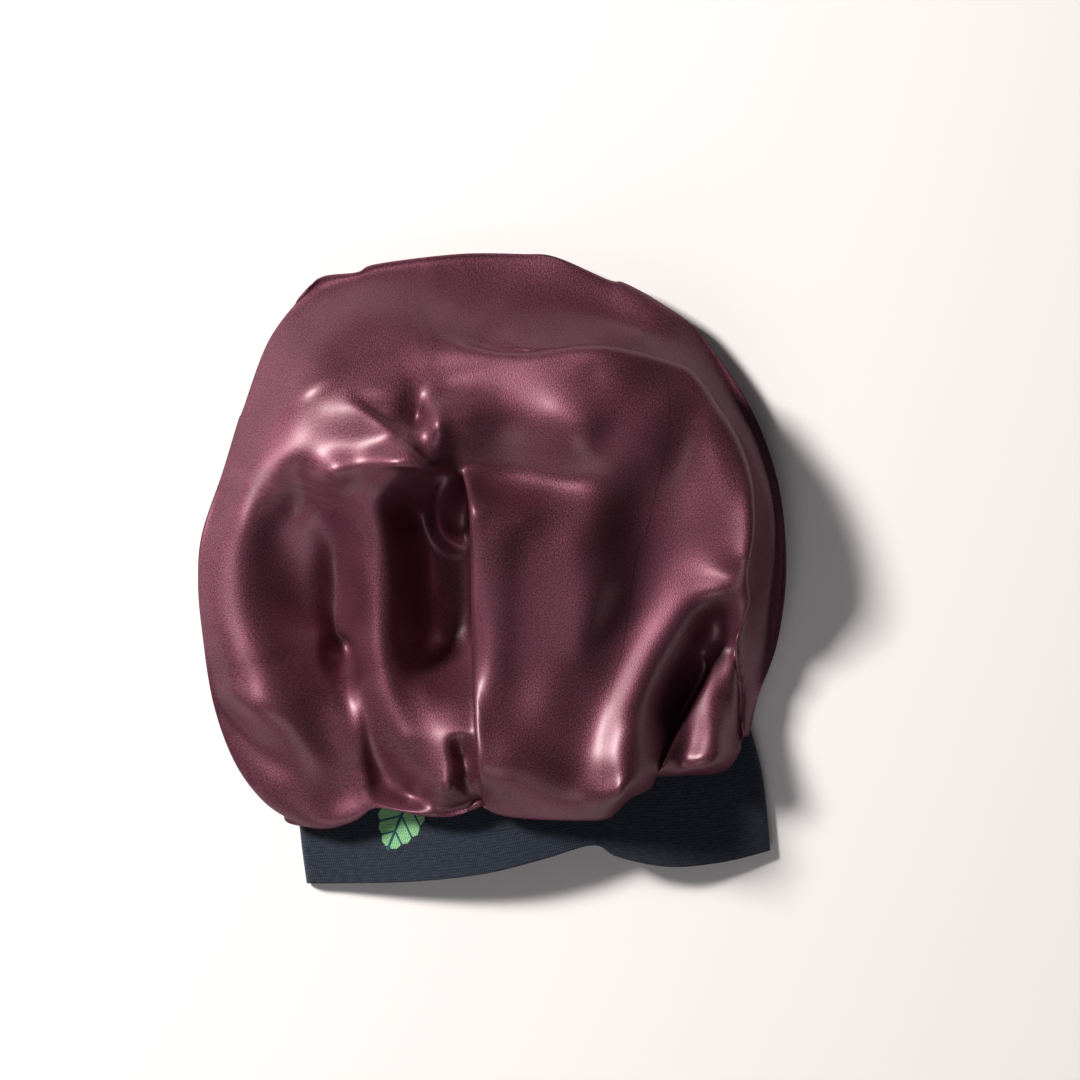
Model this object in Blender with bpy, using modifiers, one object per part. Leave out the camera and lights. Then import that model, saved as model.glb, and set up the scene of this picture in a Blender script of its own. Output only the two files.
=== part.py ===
"""Sleep bonnet lying on its back: a puffed satin crown sewn to a wide, flat-folded jersey band.

Metres, +Z up, with the floor at z = 0. +Y runs from the band to the far end of the crown, +X to the
wearer's left. The origin lies on the floor under the middle of the bonnet.
"""

import bmesh
import bpy
import numpy as np

COLLECTION = "sleep_bonnet"

# ---- driving sizes -------------------------------------------------------------------------------
CROWN_WALL = 0.0015  # satin, as thick as its turned seam
BAND_WALL = 0.0028  # two layers of jersey
SEAM_GAP = 0.0004  # between the crown's edge and the band's edge
BAND_FOLD_RADIUS = 0.0034  # outside of the folded sides of the band
BAND_ARCH_AT_SEAM = 0.030  # height of the band's upper layer under the crown
BAND_ARCH_AT_HEM = 0.026  # and at its free edge
BAND_ARCH_POWER = 1.3  # of the sine that shapes the arch: more is narrower

CROWN_SQUARES = 36  # squares along each side of the cage that becomes the crown's top
BAND_STEPS_ACROSS = 20
BAND_STEPS_ALONG = 6

# ---- the band in plan: (x, y) --------------------------------------------------------------------
BAND_SEAM_LEFT, BAND_SEAM_RIGHT = (-0.0975, -0.1010), (0.1310, -0.0825)
BAND_HEM = (
    (-0.0943, -0.1595),
    (-0.046, -0.1583),
    (-0.006, -0.154),
    (0.025, -0.1464),
    (0.0508, -0.1392),
    (0.063, -0.1452),
    (0.089, -0.1505),
    (0.1174, -0.1483),
    (0.1408, -0.1427),
)
BAND_LEFT_FOLD = ((-0.0975, -0.101), (-0.098, -0.1285), (-0.0943, -0.1595))
BAND_RIGHT_FOLD = ((0.131, -0.0825), (0.137, -0.1063), (0.1408, -0.1427))

# ---- the crown in plan, clockwise from the left: (x, y) ------------------------------------------
CROWN_OUTLINE = (
    (-0.148, -0.005), (-0.146, 0.018), (-0.136, 0.048), (-0.128, 0.075), (-0.126, 0.0795), (-0.113, 0.115),
    (-0.0946, 0.1395), (-0.086, 0.1475), (-0.0685, 0.1498), (-0.0585, 0.154), (-0.0175, 0.159),
    (0.015, 0.159), (0.032, 0.1575), (0.0585, 0.146), (0.0665, 0.1445), (0.084, 0.135), (0.104, 0.1195),
    (0.129, 0.084), (0.144, 0.0445), (0.1484, 0.001), (0.144, -0.037), (0.134, -0.0655), (0.130, -0.083),
    (0.126, -0.086), (0.1235, -0.095), (0.115, -0.1025), (0.0925, -0.104), (0.0815, -0.1045),
    (0.0797, -0.110), (0.070, -0.1147), (0.0655, -0.1187), (0.058, -0.125), (0.0434, -0.126),
    (0.010, -0.1245), (-0.0035, -0.120), (-0.006, -0.1165), (-0.0155, -0.123), (-0.0327, -0.1242),
    (-0.0574, -0.120), (-0.0685, -0.1265), (-0.0845, -0.1312), (-0.0987, -0.1279), (-0.1153, -0.1174),
    (-0.130, -0.097), (-0.1406, -0.0669), (-0.1462, -0.0299),
)
# corners of the crown's cage on that outline: left far, right far, right near, left near
CAGE_CORNERS = ((-0.098, 0.136), (0.104, 0.1195), (0.130, -0.083), (-0.1153, -0.1174))
CAGE_CENTRE = (-0.010, 0.000)

# how the crown's cloth turns over at its outline: (x, y, height of the turn, radius of the turn)
CROWN_RIM = (
    (-0.148, -0.005, 0.028, 0.012), (-0.140, 0.040, 0.027, 0.014), (-0.126, 0.080, 0.022, 0.018),
    (-0.106, 0.124, 0.017, 0.014), (-0.045, 0.155, 0.014, 0.012), (0.104, 0.119, 0.014, 0.012),
    (0.148, 0.000, 0.014, 0.012), (0.134, -0.065, 0.012, 0.009), (0.130, -0.083, 0.012, 0.006),
    (0.120, -0.100, 0.022, 0.008), (0.092, -0.104, 0.032, 0.008), (0.070, -0.115, 0.038, 0.010),
    (0.043, -0.126, 0.042, 0.012), (0.010, -0.124, 0.042, 0.012), (-0.045, -0.122, 0.036, 0.009),
    (-0.068, -0.126, 0.030, 0.010), (-0.085, -0.131, 0.024, 0.012), (-0.107, -0.125, 0.020, 0.014),
    (-0.130, -0.097, 0.024, 0.013), (-0.143, -0.050, 0.027, 0.012),
)

# ---- folds of the puffed front layer: name, then (x, y, height) along the fold -------------------
FRONT_FOLDS = (
    ("left tube crest", (-0.026, 0.099, 0.0639), (-0.049, 0.099, 0.0638), (-0.071, 0.096, 0.0622),
     (-0.092, 0.086, 0.0609), (-0.108, 0.069, 0.0524), (-0.118, 0.047, 0.0521), (-0.123, 0.025, 0.0525),
     (-0.124, 0.004, 0.0515), (-0.122, -0.021, 0.0516), (-0.115, -0.045, 0.0528),
     (-0.104, -0.070, 0.0534), (-0.093, -0.090, 0.0382), (-0.085, -0.100, 0.0342)),
    ("left tube outer flank", (-0.115, 0.065, 0.0473), (-0.128, 0.045, 0.0446), (-0.136, 0.025, 0.0442),
     (-0.140, 0.004, 0.0458), (-0.139, -0.021, 0.0466), (-0.133, -0.045, 0.0471),
     (-0.124, -0.066, 0.0510)),
    ("left turn", (-0.126, 0.080, 0.0291), (-0.148, -0.005, 0.0453), (-0.144, -0.047, 0.0364),
     (-0.115, -0.117, 0.0262), (-0.085, -0.131, 0.0338)),
    ("left tube inner flank", (-0.096, 0.050, 0.0569), (-0.104, 0.035, 0.0529), (-0.110, 0.015, 0.0451),
     (-0.110, -0.011, 0.0448), (-0.104, -0.038, 0.0474), (-0.093, -0.066, 0.0460),
     (-0.081, -0.088, 0.0383)),
    ("left tube foot", (-0.092, 0.025, 0.0487), (-0.095, 0.004, 0.0396), (-0.093, -0.021, 0.0362),
     (-0.085, -0.048, 0.0385), (-0.076, -0.073, 0.0407), (-0.069, -0.093, 0.0418)),
    ("bright slope", (-0.096, 0.069, 0.0611), (-0.079, 0.080, 0.0678), (-0.059, 0.086, 0.0707),
     (-0.045, 0.086, 0.0696)),
    ("groove on that slope", (-0.087, 0.066, 0.0650), (-0.070, 0.069, 0.0703), (-0.052, 0.069, 0.0752)),
    ("pink band", (-0.105, 0.053, 0.0583), (-0.086, 0.059, 0.0651), (-0.064, 0.063, 0.0709),
     (-0.040, 0.062, 0.0777)),
    ("brow", (-0.098, 0.027, 0.0476), (-0.091, 0.041, 0.0546), (-0.080, 0.049, 0.0686),
     (-0.065, 0.052, 0.0694), (-0.046, 0.052, 0.0704), (-0.033, 0.046, 0.0720)),
    ("under the brow", (-0.085, 0.025, 0.0468), (-0.076, 0.037, 0.0570), (-0.062, 0.043, 0.0669),
     (-0.045, 0.043, 0.0620), (-0.032, 0.035, 0.0412)),
    ("left valley", (-0.088, 0.015, 0.0428), (-0.085, -0.005, 0.0322), (-0.081, -0.025, 0.0292),
     (-0.077, -0.042, 0.0356)),
    ("centre ridge foot", (-0.077, 0.019, 0.0441), (-0.076, -0.001, 0.0293), (-0.073, -0.021, 0.0217),
     (-0.069, -0.040, 0.0324)),
    ("centre ridge", (-0.067, 0.035, 0.0568), (-0.064, 0.012, 0.0504), (-0.061, -0.015, 0.0481),
     (-0.060, -0.040, 0.0482), (-0.058, -0.060, 0.0459), (-0.051, -0.080, 0.0489)),
    ("centre ridge near part", (-0.043, -0.086, 0.0507), (-0.031, -0.089, 0.0516),
     (-0.026, -0.098, 0.0550), (-0.024, -0.111, 0.0502)),
    ("centre ridge right flank", (-0.056, 0.029, 0.0538), (-0.052, 0.009, 0.0505),
     (-0.050, -0.015, 0.0463), (-0.049, -0.038, 0.0461), (-0.045, -0.059, 0.0481)),
    ("hollow", (-0.041, 0.029, 0.0199), (-0.038, 0.009, 0.0166), (-0.035, -0.015, 0.0149),
     (-0.034, -0.041, 0.0155), (-0.032, -0.060, 0.0410)),
    ("hollow beside the crease", (-0.023, 0.012, 0.0190), (-0.022, -0.011, 0.0185),
     (-0.020, -0.035, 0.0178), (-0.017, -0.060, 0.0439)),
    ("lip of the hollow", (-0.047, -0.070, 0.0490), (-0.036, -0.075, 0.0498), (-0.023, -0.073, 0.0519)),
    ("near left panel", (-0.057, -0.088, 0.0417), (-0.055, -0.103, 0.0383), (-0.046, -0.102, 0.0411),
     (-0.034, -0.105, 0.0419)),
    ("near left hem", (-0.053, -0.116, 0.0390), (-0.040, -0.117, 0.0386), (-0.030, -0.118, 0.0345)),
    ("left lobe", (-0.072, -0.060, 0.0387), (-0.069, -0.083, 0.0419), (-0.074, -0.100, 0.0338)),
    ("lower left crease", (-0.135, -0.071, 0.0371), (-0.126, -0.080, 0.0320), (-0.115, -0.091, 0.0296),
     (-0.104, -0.101, 0.0310), (-0.092, -0.105, 0.0322)),
    ("lower left ridge", (-0.132, -0.083, 0.0243), (-0.121, -0.097, 0.0287), (-0.107, -0.111, 0.0312),
     (-0.094, -0.117, 0.0312)),
    ("lobe crease", (-0.089, -0.121, 0.0297), (-0.076, -0.113, 0.0288), (-0.063, -0.105, 0.0378)),
    ("lobe ridge", (-0.080, -0.124, 0.0284), (-0.070, -0.118, 0.0307), (-0.062, -0.116, 0.0352)),
    ("gathered star", (-0.045, 0.072, 0.0764), (-0.041, 0.065, 0.0752), (-0.034, 0.059, 0.0713)),
    ("bump beside the star", (-0.028, 0.081, 0.0715), (-0.026, 0.069, 0.0721), (-0.020, 0.057, 0.0715)),
    ("crease above the star", (-0.040, 0.086, 0.0697), (-0.039, 0.074, 0.0685)),
    ("far roll crest", (-0.026, 0.102, 0.0627), (0.004, 0.103, 0.0678), (0.034, 0.105, 0.0716),
     (0.059, 0.103, 0.0742), (0.084, 0.097, 0.0695), (0.104, 0.084, 0.0691)),
    ("far roll light", (-0.024, 0.088, 0.0678), (-0.001, 0.091, 0.0693), (0.019, 0.086, 0.0731),
     (0.032, 0.080, 0.0774)),
    ("far roll shadow side", (-0.011, 0.075, 0.0893), (0.006, 0.074, 0.0754), (0.024, 0.065, 0.0708),
     (0.042, 0.061, 0.0769)),
    ("dent", (0.051, 0.098, 0.0732), (0.052, 0.085, 0.0760), (0.049, 0.072, 0.0790)),
    ("ring round the dent", (0.064, 0.099, 0.0739), (0.065, 0.084, 0.0759), (0.060, 0.070, 0.0740),
     (0.048, 0.057, 0.0751), (0.030, 0.051, 0.0555)),
    ("cross ridge", (-0.004, 0.043, 0.0662), (0.014, 0.041, 0.0698), (0.034, 0.043, 0.0678),
     (0.054, 0.051, 0.0735), (0.074, 0.068, 0.0744), (0.088, 0.083, 0.0721)),
    ("panel edge", (-0.004, 0.029, 0.0782), (-0.004, -0.001, 0.0615), (-0.003, -0.030, 0.0524),
     (-0.002, -0.060, 0.0554), (-0.001, -0.088, 0.0632)),
    ("panel valley", (0.016, 0.025, 0.0788), (0.013, -0.003, 0.0689), (0.011, -0.030, 0.0584),
     (0.011, -0.060, 0.0541), (0.013, -0.088, 0.0635)),
    ("panel ridge", (0.053, 0.029, 0.0715), (0.045, 0.004, 0.0760), (0.038, -0.021, 0.0693),
     (0.032, -0.048, 0.0557), (0.028, -0.075, 0.0547)),
    ("dark diagonal", (0.082, 0.057, 0.0662), (0.072, 0.035, 0.0587), (0.062, 0.012, 0.0646),
     (0.053, -0.011, 0.0714), (0.044, -0.038, 0.0625)),
    ("slope right of it", (0.101, 0.065, 0.0636), (0.092, 0.037, 0.0542), (0.081, 0.012, 0.0519),
     (0.068, -0.011, 0.0567), (0.055, -0.035, 0.0572)),
    ("right shoulder", (0.107, 0.072, 0.0694), (0.113, 0.050, 0.0661), (0.114, 0.027, 0.0616),
     (0.108, 0.011, 0.0544)),
    ("right edge", (0.120, 0.065, 0.0699), (0.127, 0.044, 0.0676), (0.128, 0.025, 0.0689),
     (0.124, 0.004, 0.0606)),
    ("lower right ridge", (0.118, -0.002, 0.0568), (0.105, -0.003, 0.0533), (0.092, -0.013, 0.0533),
     (0.080, -0.028, 0.0533), (0.068, -0.045, 0.0545), (0.058, -0.066, 0.0536),
     (0.051, -0.088, 0.0533)),
    ("under that ridge", (0.115, -0.011, 0.0572), (0.103, -0.018, 0.0527), (0.093, -0.033, 0.0521),
     (0.084, -0.050, 0.0533), (0.076, -0.067, 0.0544)),
    ("lower right hollow", (0.110, -0.026, 0.0279), (0.102, -0.041, 0.0292), (0.096, -0.058, 0.0273),
     (0.090, -0.071, 0.0285)),
    ("bright corner", (0.072, -0.080, 0.0585), (0.065, -0.098, 0.0610), (0.059, -0.113, 0.0584)),
    ("near right panel", (0.004, -0.103, 0.0655), (0.024, -0.105, 0.0599), (0.042, -0.103, 0.0538)),
    ("near right hem", (0.002, -0.117, 0.0501), (0.024, -0.118, 0.0527), (0.049, -0.119, 0.0519),
     (0.065, -0.113, 0.0669)),
    ("right crease light", (0.125, -0.040, 0.0401), (0.117, -0.056, 0.0329), (0.107, -0.073, 0.0356),
     (0.099, -0.089, 0.0400)),
    ("right fold outer edge", (0.128, -0.015, 0.0567), (0.127, -0.035, 0.0537), (0.125, -0.060, 0.0357),
     (0.123, -0.086, 0.0227)),
    ("right fold panel", (0.118, -0.066, 0.0311), (0.112, -0.085, 0.0441), (0.108, -0.096, 0.0456)),
    ("right fold hem", (0.094, -0.100, 0.0407), (0.108, -0.100, 0.0494), (0.120, -0.097, 0.0329)),
    ("near turn", (-0.045, -0.122, 0.0397), (-0.006, -0.117, 0.0406), (0.010, -0.124, 0.0459),
     (0.050, -0.126, 0.0482), (0.075, -0.113, 0.0617), (0.120, -0.100, 0.0251),
     (0.128, -0.080, 0.0219)),
)

# ---- the lower layer that shows beyond the puff: name, then (x, y, height) -----------------------
BACK_FOLDS = (
    ("far turn", (-0.106, 0.124, 0.0221), (-0.077, 0.149, 0.0095), (0.000, 0.160, 0.0123),
     (0.084, 0.135, 0.0214), (0.137, 0.063, 0.0242), (0.148, -0.015, 0.0123), (0.131, -0.079, 0.0149)),
    ("far layer", (-0.101, 0.110, 0.0380), (-0.071, 0.129, 0.0363), (-0.031, 0.134, 0.0341),
     (0.014, 0.135, 0.0276), (0.054, 0.126, 0.0313), (0.090, 0.108, 0.0511), (0.116, 0.079, 0.0685)),
    ("far layer foot", (-0.115, 0.086, 0.0362), (-0.086, 0.101, 0.0608), (-0.051, 0.110, 0.0622),
     (-0.011, 0.116, 0.0566), (0.034, 0.119, 0.0477), (0.074, 0.113, 0.0592), (0.099, 0.098, 0.0703)),
    ("right layer", (0.128, 0.065, 0.0512), (0.138, 0.035, 0.0440), (0.140, 0.004, 0.0334),
     (0.137, -0.025, 0.0308), (0.133, -0.056, 0.0176)),
)

# edge of the puff over the lower layer, from the left: (x, y)
PUFF_EDGE = (
    (-0.132, 0.062), (-0.086, 0.107), (-0.046, 0.120), (0.0045, 0.1105), (0.043, 0.114), (0.0645, 0.113),
    (0.094, 0.105), (0.104, 0.0985), (0.1145, 0.084), (0.126, 0.065), (0.1325, 0.0445), (0.1335, 0.020),
    (0.1305, -0.0025), (0.132, -0.016), (0.127, -0.031), (0.1245, -0.0385), (0.126, -0.0595),
    (0.1255, -0.088),
)
PUFF_EDGE_HALF_STEP = (0.024, 0.005)  # half the width of the step at the left end and on the right
PUFF_EDGE_SHARPENS = (-0.035, 0.025)  # between these x
PUFF_EDGE_CURL, PUFF_EDGE_RADIUS = 0.022, 0.011

# overlapping folds, high side on the left of the way they run: name, curl radius, reach of the step,
# then (x, y, height of the step)
OVERLAPS = (
    ("centre crease", 0.006, 0.008, (-0.017, 0.049, 0.000), (-0.013, 0.030, 0.046), (-0.012, -0.017, 0.052),
     (-0.0115, -0.054, 0.042), (-0.009, -0.091, 0.030), (-0.006, -0.115, 0.012)),
    ("notch edge", 0.004, 0.008, (-0.078, -0.032, 0.000), (-0.072, -0.039, 0.012), (-0.066, -0.067, 0.012),
     (-0.062, -0.102, 0.010), (-0.057, -0.120, 0.004)),
    ("lower right crease", 0.005, 0.008, (0.104, -0.040, 0.000), (0.107, -0.052, 0.012),
     (0.094, -0.075, 0.016), (0.081, -0.104, 0.008)),
    ("brow edge", 0.005, 0.010, (-0.097, 0.026, 0.000), (-0.081, 0.047, 0.008), (-0.060, 0.051, 0.012),
     (-0.033, 0.048, 0.012), (-0.020, 0.046, 0.000)),
)
OVERLAP_CURL = 0.30  # share of a step that is the rounding of its upper edge
OVERLAP_FADE_POWER = 1.6  # how squarely a step fades out at its reach
OVERLAP_BLEND = 0.0045  # half the width over which one side gives way to the other

FOLD_SPACING = 0.005  # between the points that carry a fold
FOLD_SOFTNESS = 60.0  # how far the cloth may ease away from those points
SPLINE_UNIT = 0.001  # the fold spline is solved in millimetres
CURVE_STEPS = 8  # points per span of a smooth curve
TINY = 1e-9

# ---- the underside -------------------------------------------------------------------------------
TUCK_SIDES = 0.020  # how far the cloth runs in below the turn before it lies on the floor
TUCK_NEAR = 0.006  # the same over the band
MOST_TUCK = 0.45  # of the way to the seam
TUCK_ANGLES = (30.0, 60.0, 90.0)
FLOOR_RUNS = (0.30, 0.60, 0.88)  # ring places from the floor contact to the band's lower edge
SEAM_TURN = 0.0036  # height of the small turn behind the seam
SEAM_TURN_DEPTH = 0.7  # how far that turn goes back under the crown, as a share of its height
OVERHANG_SHARE = 0.55  # place of the ring between the overhang and the seam
OVERHANG_ENDS = ((0.1315, -0.0795), (-0.1030, -0.1265))  # where the outline crosses the band's sides
CORNER_BLENDS = (0.003, 0.014)  # outline length in which the cloth climbs from the floor, right and left
CORNER_CLEARANCE = 0.0025  # between the crown on the floor and the band's folded side
CORNER_STEP = 0.0008  # and this much more for each ring further out

SATIN_COLOUR = (0.165, 0.055, 0.085, 1.0)
JERSEY_COLOUR = (0.012, 0.014, 0.020, 1.0)


# ---- curves and height field ---------------------------------------------------------------------
def smooth_path(points, steps=CURVE_STEPS, closed=False):
    """A Catmull-Rom curve through rows of numbers."""
    rows = np.asarray(points, float)
    count = len(rows)
    spans = count if closed else count - 1
    curve = []
    for i in range(spans):
        picks = [i - 1, i, i + 1, i + 2]
        before, start, end, after = rows[[p % count if closed else min(max(p, 0), count - 1) for p in picks]]
        for t in np.arange(steps) / steps:
            curve.append(
                start
                + 0.5 * t * (end - before + t * (2 * before - 5 * start + 4 * end - after)
                             + t * t * (3 * (start - end) + after - before))
            )
    return np.array(curve if closed else curve + [rows[-1]])


def run_lengths(path):
    """Length along a path at each of its points."""
    return np.concatenate([[0.0], np.cumsum(np.linalg.norm(np.diff(path[:, :2], axis=0), axis=1))])


def spaced(points, spacing=FOLD_SPACING):
    """Rows of a fold, set at an even spacing along its smooth curve."""
    path = smooth_path(points)
    run = run_lengths(path)
    places = np.linspace(0.0, run[-1], max(len(points), int(run[-1] / spacing) + 1))
    return np.column_stack([np.interp(places, run, column) for column in path.T])


def nearest_on(path, places):
    """Distance of each place to a path, positive on its left, and the path's other columns there."""
    best = np.full(len(places), np.inf)
    side = np.ones(len(places))
    values = np.zeros((len(places), path.shape[1] - 2))
    for start, end in zip(path[:-1], path[1:]):
        along = end[:2] - start[:2]
        reach = places - start[:2]
        t = np.clip(reach @ along / (along @ along + TINY**2), 0.0, 1.0)
        distance = np.linalg.norm(reach - t[:, None] * along, axis=1)
        closer = distance < best
        best[closer] = distance[closer]
        side[closer] = np.where(along[0] * reach[closer, 1] < along[1] * reach[closer, 0], -1.0, 1.0)
        values[closer] = start[2:] + t[closer, None] * (end[2:] - start[2:])
    return best * side, values


def smoothstep(x):
    x = np.clip(x, 0.0, 1.0)
    return x * x * (3.0 - 2.0 * x)


def curl(distance, radius):
    """How far a quarter-round edge has dropped: 1 at the edge, 0 a radius inside it."""
    inside = np.clip(distance / radius, 0.0, 1.0)
    return 1.0 - np.sqrt(1.0 - (1.0 - inside) ** 2)


class FoldSpline:
    """A thin-plate spline through the points of named folds."""

    def __init__(self, folds):
        knots = np.concatenate([spaced(points) for _, *points in folds]) / SPLINE_UNIT
        self.centres = knots[:, :2]
        count = len(knots)
        system = np.zeros((count + 3, count + 3))
        system[:count, :count] = self.bending(self.centres) + FOLD_SOFTNESS * np.eye(count)
        system[:count, count] = 1.0
        system[:count, count + 1:] = self.centres
        system[count:, :count] = system[:count, count:].T
        self.weights = np.linalg.solve(system, np.append(knots[:, 2], np.zeros(3)))

    def bending(self, places):
        squared = ((places[:, None, :] - self.centres[None, :, :]) ** 2).sum(axis=2)
        return 0.5 * squared * np.log(squared + TINY)

    def heights(self, places):
        places = places / SPLINE_UNIT
        flat = self.weights[-3] + places @ self.weights[-2:]
        return (self.bending(places) @ self.weights[:-3] + flat) * SPLINE_UNIT


def puff_share(places):
    """1 on the puffed front layer and 0 on the lower one, the distance inside the edge, its sharpness."""
    distance, _ = nearest_on(smooth_path(PUFF_EDGE), places)
    inside = -distance
    start, end = PUFF_EDGE_SHARPENS
    sharp = smoothstep((places[:, 0] - start) / (end - start))
    half = PUFF_EDGE_HALF_STEP[0] + sharp * (PUFF_EDGE_HALF_STEP[1] - PUFF_EDGE_HALF_STEP[0])
    return smoothstep(0.5 + 0.5 * inside / half), inside, sharp


def crown_heights(places):
    """Height of the crown's upper surface over each (x, y) inside its outline."""
    share, inside, sharp = puff_share(places)
    front = FoldSpline(FRONT_FOLDS).heights(places) - sharp * PUFF_EDGE_CURL * curl(inside, PUFF_EDGE_RADIUS)
    back = FoldSpline(BACK_FOLDS).heights(places)
    heights = back + share * (front - back)
    for _, radius, reach, *points in OVERLAPS:
        distance, values = nearest_on(smooth_path(points), places)
        step = values[:, 0]
        fade = 0.5 * np.exp(-((np.abs(distance) / reach) ** OVERLAP_FADE_POWER))
        upper = fade - OVERLAP_CURL * curl(distance, radius)
        blend = smoothstep(0.5 + 0.5 * distance / OVERLAP_BLEND)
        heights = heights + step * (upper * blend - fade * (1.0 - blend))
    outline = smooth_path(CROWN_OUTLINE + CROWN_OUTLINE[:1])
    to_outline = np.abs(nearest_on(outline, places)[0])
    turn, radius = nearest_on(smooth_path(CROWN_RIM + CROWN_RIM[:1]), places)[1].T
    return turn + (heights - turn) * (1.0 - curl(to_outline, radius))


# ---- the band ------------------------------------------------------------------------------------
def along_path(path, share):
    """The point at a share of a plan path's length."""
    run = run_lengths(path)
    return np.array([np.interp(share * run[-1], run, column) for column in path.T])


def band_rise(across):
    """Shape of the band's arch: 0 at its folded sides, 1 in the middle."""
    return np.sin(np.pi * across) ** BAND_ARCH_POWER


def band_section(share_along, around):
    """Points round the band's outer surface at a share of its width, 0 at the seam and 1 at the hem.

    around holds 0 to 1 for once round: along the floor from left to right, then back over the arch.
    """
    hem = smooth_path(BAND_HEM)
    left = along_path(smooth_path(BAND_LEFT_FOLD), share_along)
    right = along_path(smooth_path(BAND_RIGHT_FOLD), share_along)
    arch = BAND_ARCH_AT_SEAM + share_along * (BAND_ARCH_AT_HEM - BAND_ARCH_AT_SEAM)
    places = []
    for turn in around:
        across = 0.5 - 0.5 * np.cos(2.0 * np.pi * turn)
        hem_wave = along_path(hem, across) - (hem[0] + across * (hem[-1] - hem[0]))
        plan = left + across * (right - left) + share_along * hem_wave
        from_fold = np.linalg.norm(right - left) * min(across, 1.0 - across)
        bulge = np.sqrt(1.0 - (1.0 - min(from_fold / BAND_FOLD_RADIUS, 1.0)) ** 2)
        if turn <= 0.5:
            height = BAND_FOLD_RADIUS * (1.0 - bulge)
        else:
            height = BAND_FOLD_RADIUS * (1.0 + bulge) + (arch - 2 * BAND_FOLD_RADIUS) * band_rise(across)
        places.append((plan[0], plan[1], height))
    return np.array(places)


def band_top(places):
    """Height of the band's upper layer over each (x, y), level past its folded sides."""
    seam_left, seam_right = np.array(BAND_SEAM_LEFT), np.array(BAND_SEAM_RIGHT)
    chord = seam_right - seam_left
    across = np.clip((places - seam_left) @ chord / (chord @ chord), 0.0, 1.0)
    return 2 * BAND_FOLD_RADIUS + (BAND_ARCH_AT_SEAM - 2 * BAND_FOLD_RADIUS) * band_rise(across)


# ---- mesh building -------------------------------------------------------------------------------
def clear_scene():
    for obj in list(bpy.data.objects):
        bpy.data.objects.remove(obj, do_unlink=True)


def new_material(name, colour, roughness):
    material = bpy.data.materials.new(name)
    material.use_nodes = True
    shader = material.node_tree.nodes["Principled BSDF"]
    shader.inputs["Base Color"].default_value = colour
    shader.inputs["Roughness"].default_value = roughness
    shader.inputs["Metallic"].default_value = 0.0
    return material


def extrude_ring(mesh, ring, places):
    """Extrudes a closed ring of vertices to new places and gives the new ring."""
    edges = [mesh.edges.get((a, b)) for a, b in zip(ring, ring[1:] + ring[:1])]
    made = bmesh.ops.extrude_edge_only(mesh, edges=edges)["geom"]
    fresh = {v for v in made if isinstance(v, bmesh.types.BMVert)}
    grown = [next(e.other_vert(v) for e in v.link_edges if e.other_vert(v) in fresh) for v in ring]
    for vertex, place in zip(grown, places):
        vertex.co = place
    return grown


def finish_shell(name, mesh, wall, material, collection):
    """Makes an object of an open shell, facing out, with its wall grown inwards."""
    bmesh.ops.recalc_face_normals(mesh, faces=mesh.faces)
    mesh.normal_update()
    highest = max(mesh.faces, key=lambda face: face.calc_center_median().z)
    if highest.normal.z < 0:
        bmesh.ops.reverse_faces(mesh, faces=mesh.faces)
    data = bpy.data.meshes.new(name)
    mesh.to_mesh(data)
    mesh.free()
    data.shade_smooth()
    data.materials.append(material)
    obj = bpy.data.objects.new(name, data)
    collection.objects.link(obj)
    solidify = obj.modifiers.new("wall", "SOLIDIFY")
    solidify.thickness = wall
    solidify.offset = -1.0
    solidify.use_even_offset = False
    return obj


def cage_place(u, v, sides):
    """Plan place of a cage point: concentric squares drawn out to the four sides of the outline."""
    size = max(abs(u), abs(v))
    if size < TINY:
        return np.array(CAGE_CENTRE)
    if v >= size - TINY:
        side, share = 0, 0.5 + 0.5 * u / size
    elif u >= size - TINY:
        side, share = 1, 0.5 - 0.5 * v / size
    elif v <= -size + TINY:
        side, share = 2, 0.5 - 0.5 * u / size
    else:
        side, share = 3, 0.5 + 0.5 * v / size
    edge = along_path(sides[side], share)
    return np.array(CAGE_CENTRE) + size * (edge - CAGE_CENTRE)


def outline_sides():
    """The outline's four sides between the cage corners, clockwise from the far one."""
    outline = smooth_path(CROWN_OUTLINE, closed=True)
    corners = [int(np.argmin(np.linalg.norm(outline - corner, axis=1))) for corner in CAGE_CORNERS]
    sides = []
    for start, end in zip(corners, corners[1:] + corners[:1]):
        count = (end - start) % len(outline)
        sides.append(outline[(start + np.arange(count + 1)) % len(outline)])
    return sides


def floor_rings(plan, turn, seam):
    """Rings that tuck in below the outline's turn, lie down and run in to the band's lower edge."""
    to_seam = seam[:, :2] - plan
    distance = np.linalg.norm(to_seam, axis=1)
    inward = to_seam / distance[:, None]
    tuck = np.minimum(TUCK_SIDES, MOST_TUCK * distance)
    rings = []
    for angle in np.radians(TUCK_ANGLES):
        place = plan + (tuck * (1.0 - np.cos(angle)))[:, None] * inward
        rings.append(np.column_stack([place, turn * (1.0 - np.sin(angle))]))
    contact = rings[-1]
    rings += [contact + share * (seam * (1.0, 1.0, 0.0) - contact) for share in FLOOR_RUNS]

    # beside the band's left fold the cloth stays clear of it, each ring a little further out
    for rings_left, ring in enumerate(reversed(rings)):
        before_seam = smoothstep((BAND_SEAM_LEFT[1] + SEAM_GAP - ring[:, 1]) / CORNER_CLEARANCE)
        limit = BAND_SEAM_LEFT[0] - before_seam * (CORNER_CLEARANCE + CORNER_STEP * rings_left)
        beside_band = (ring[:, 0] < 0.0) & (before_seam > 0.0)
        ring[beside_band, 0] = np.minimum(ring[:, 0], limit)[beside_band]
    return rings


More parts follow.
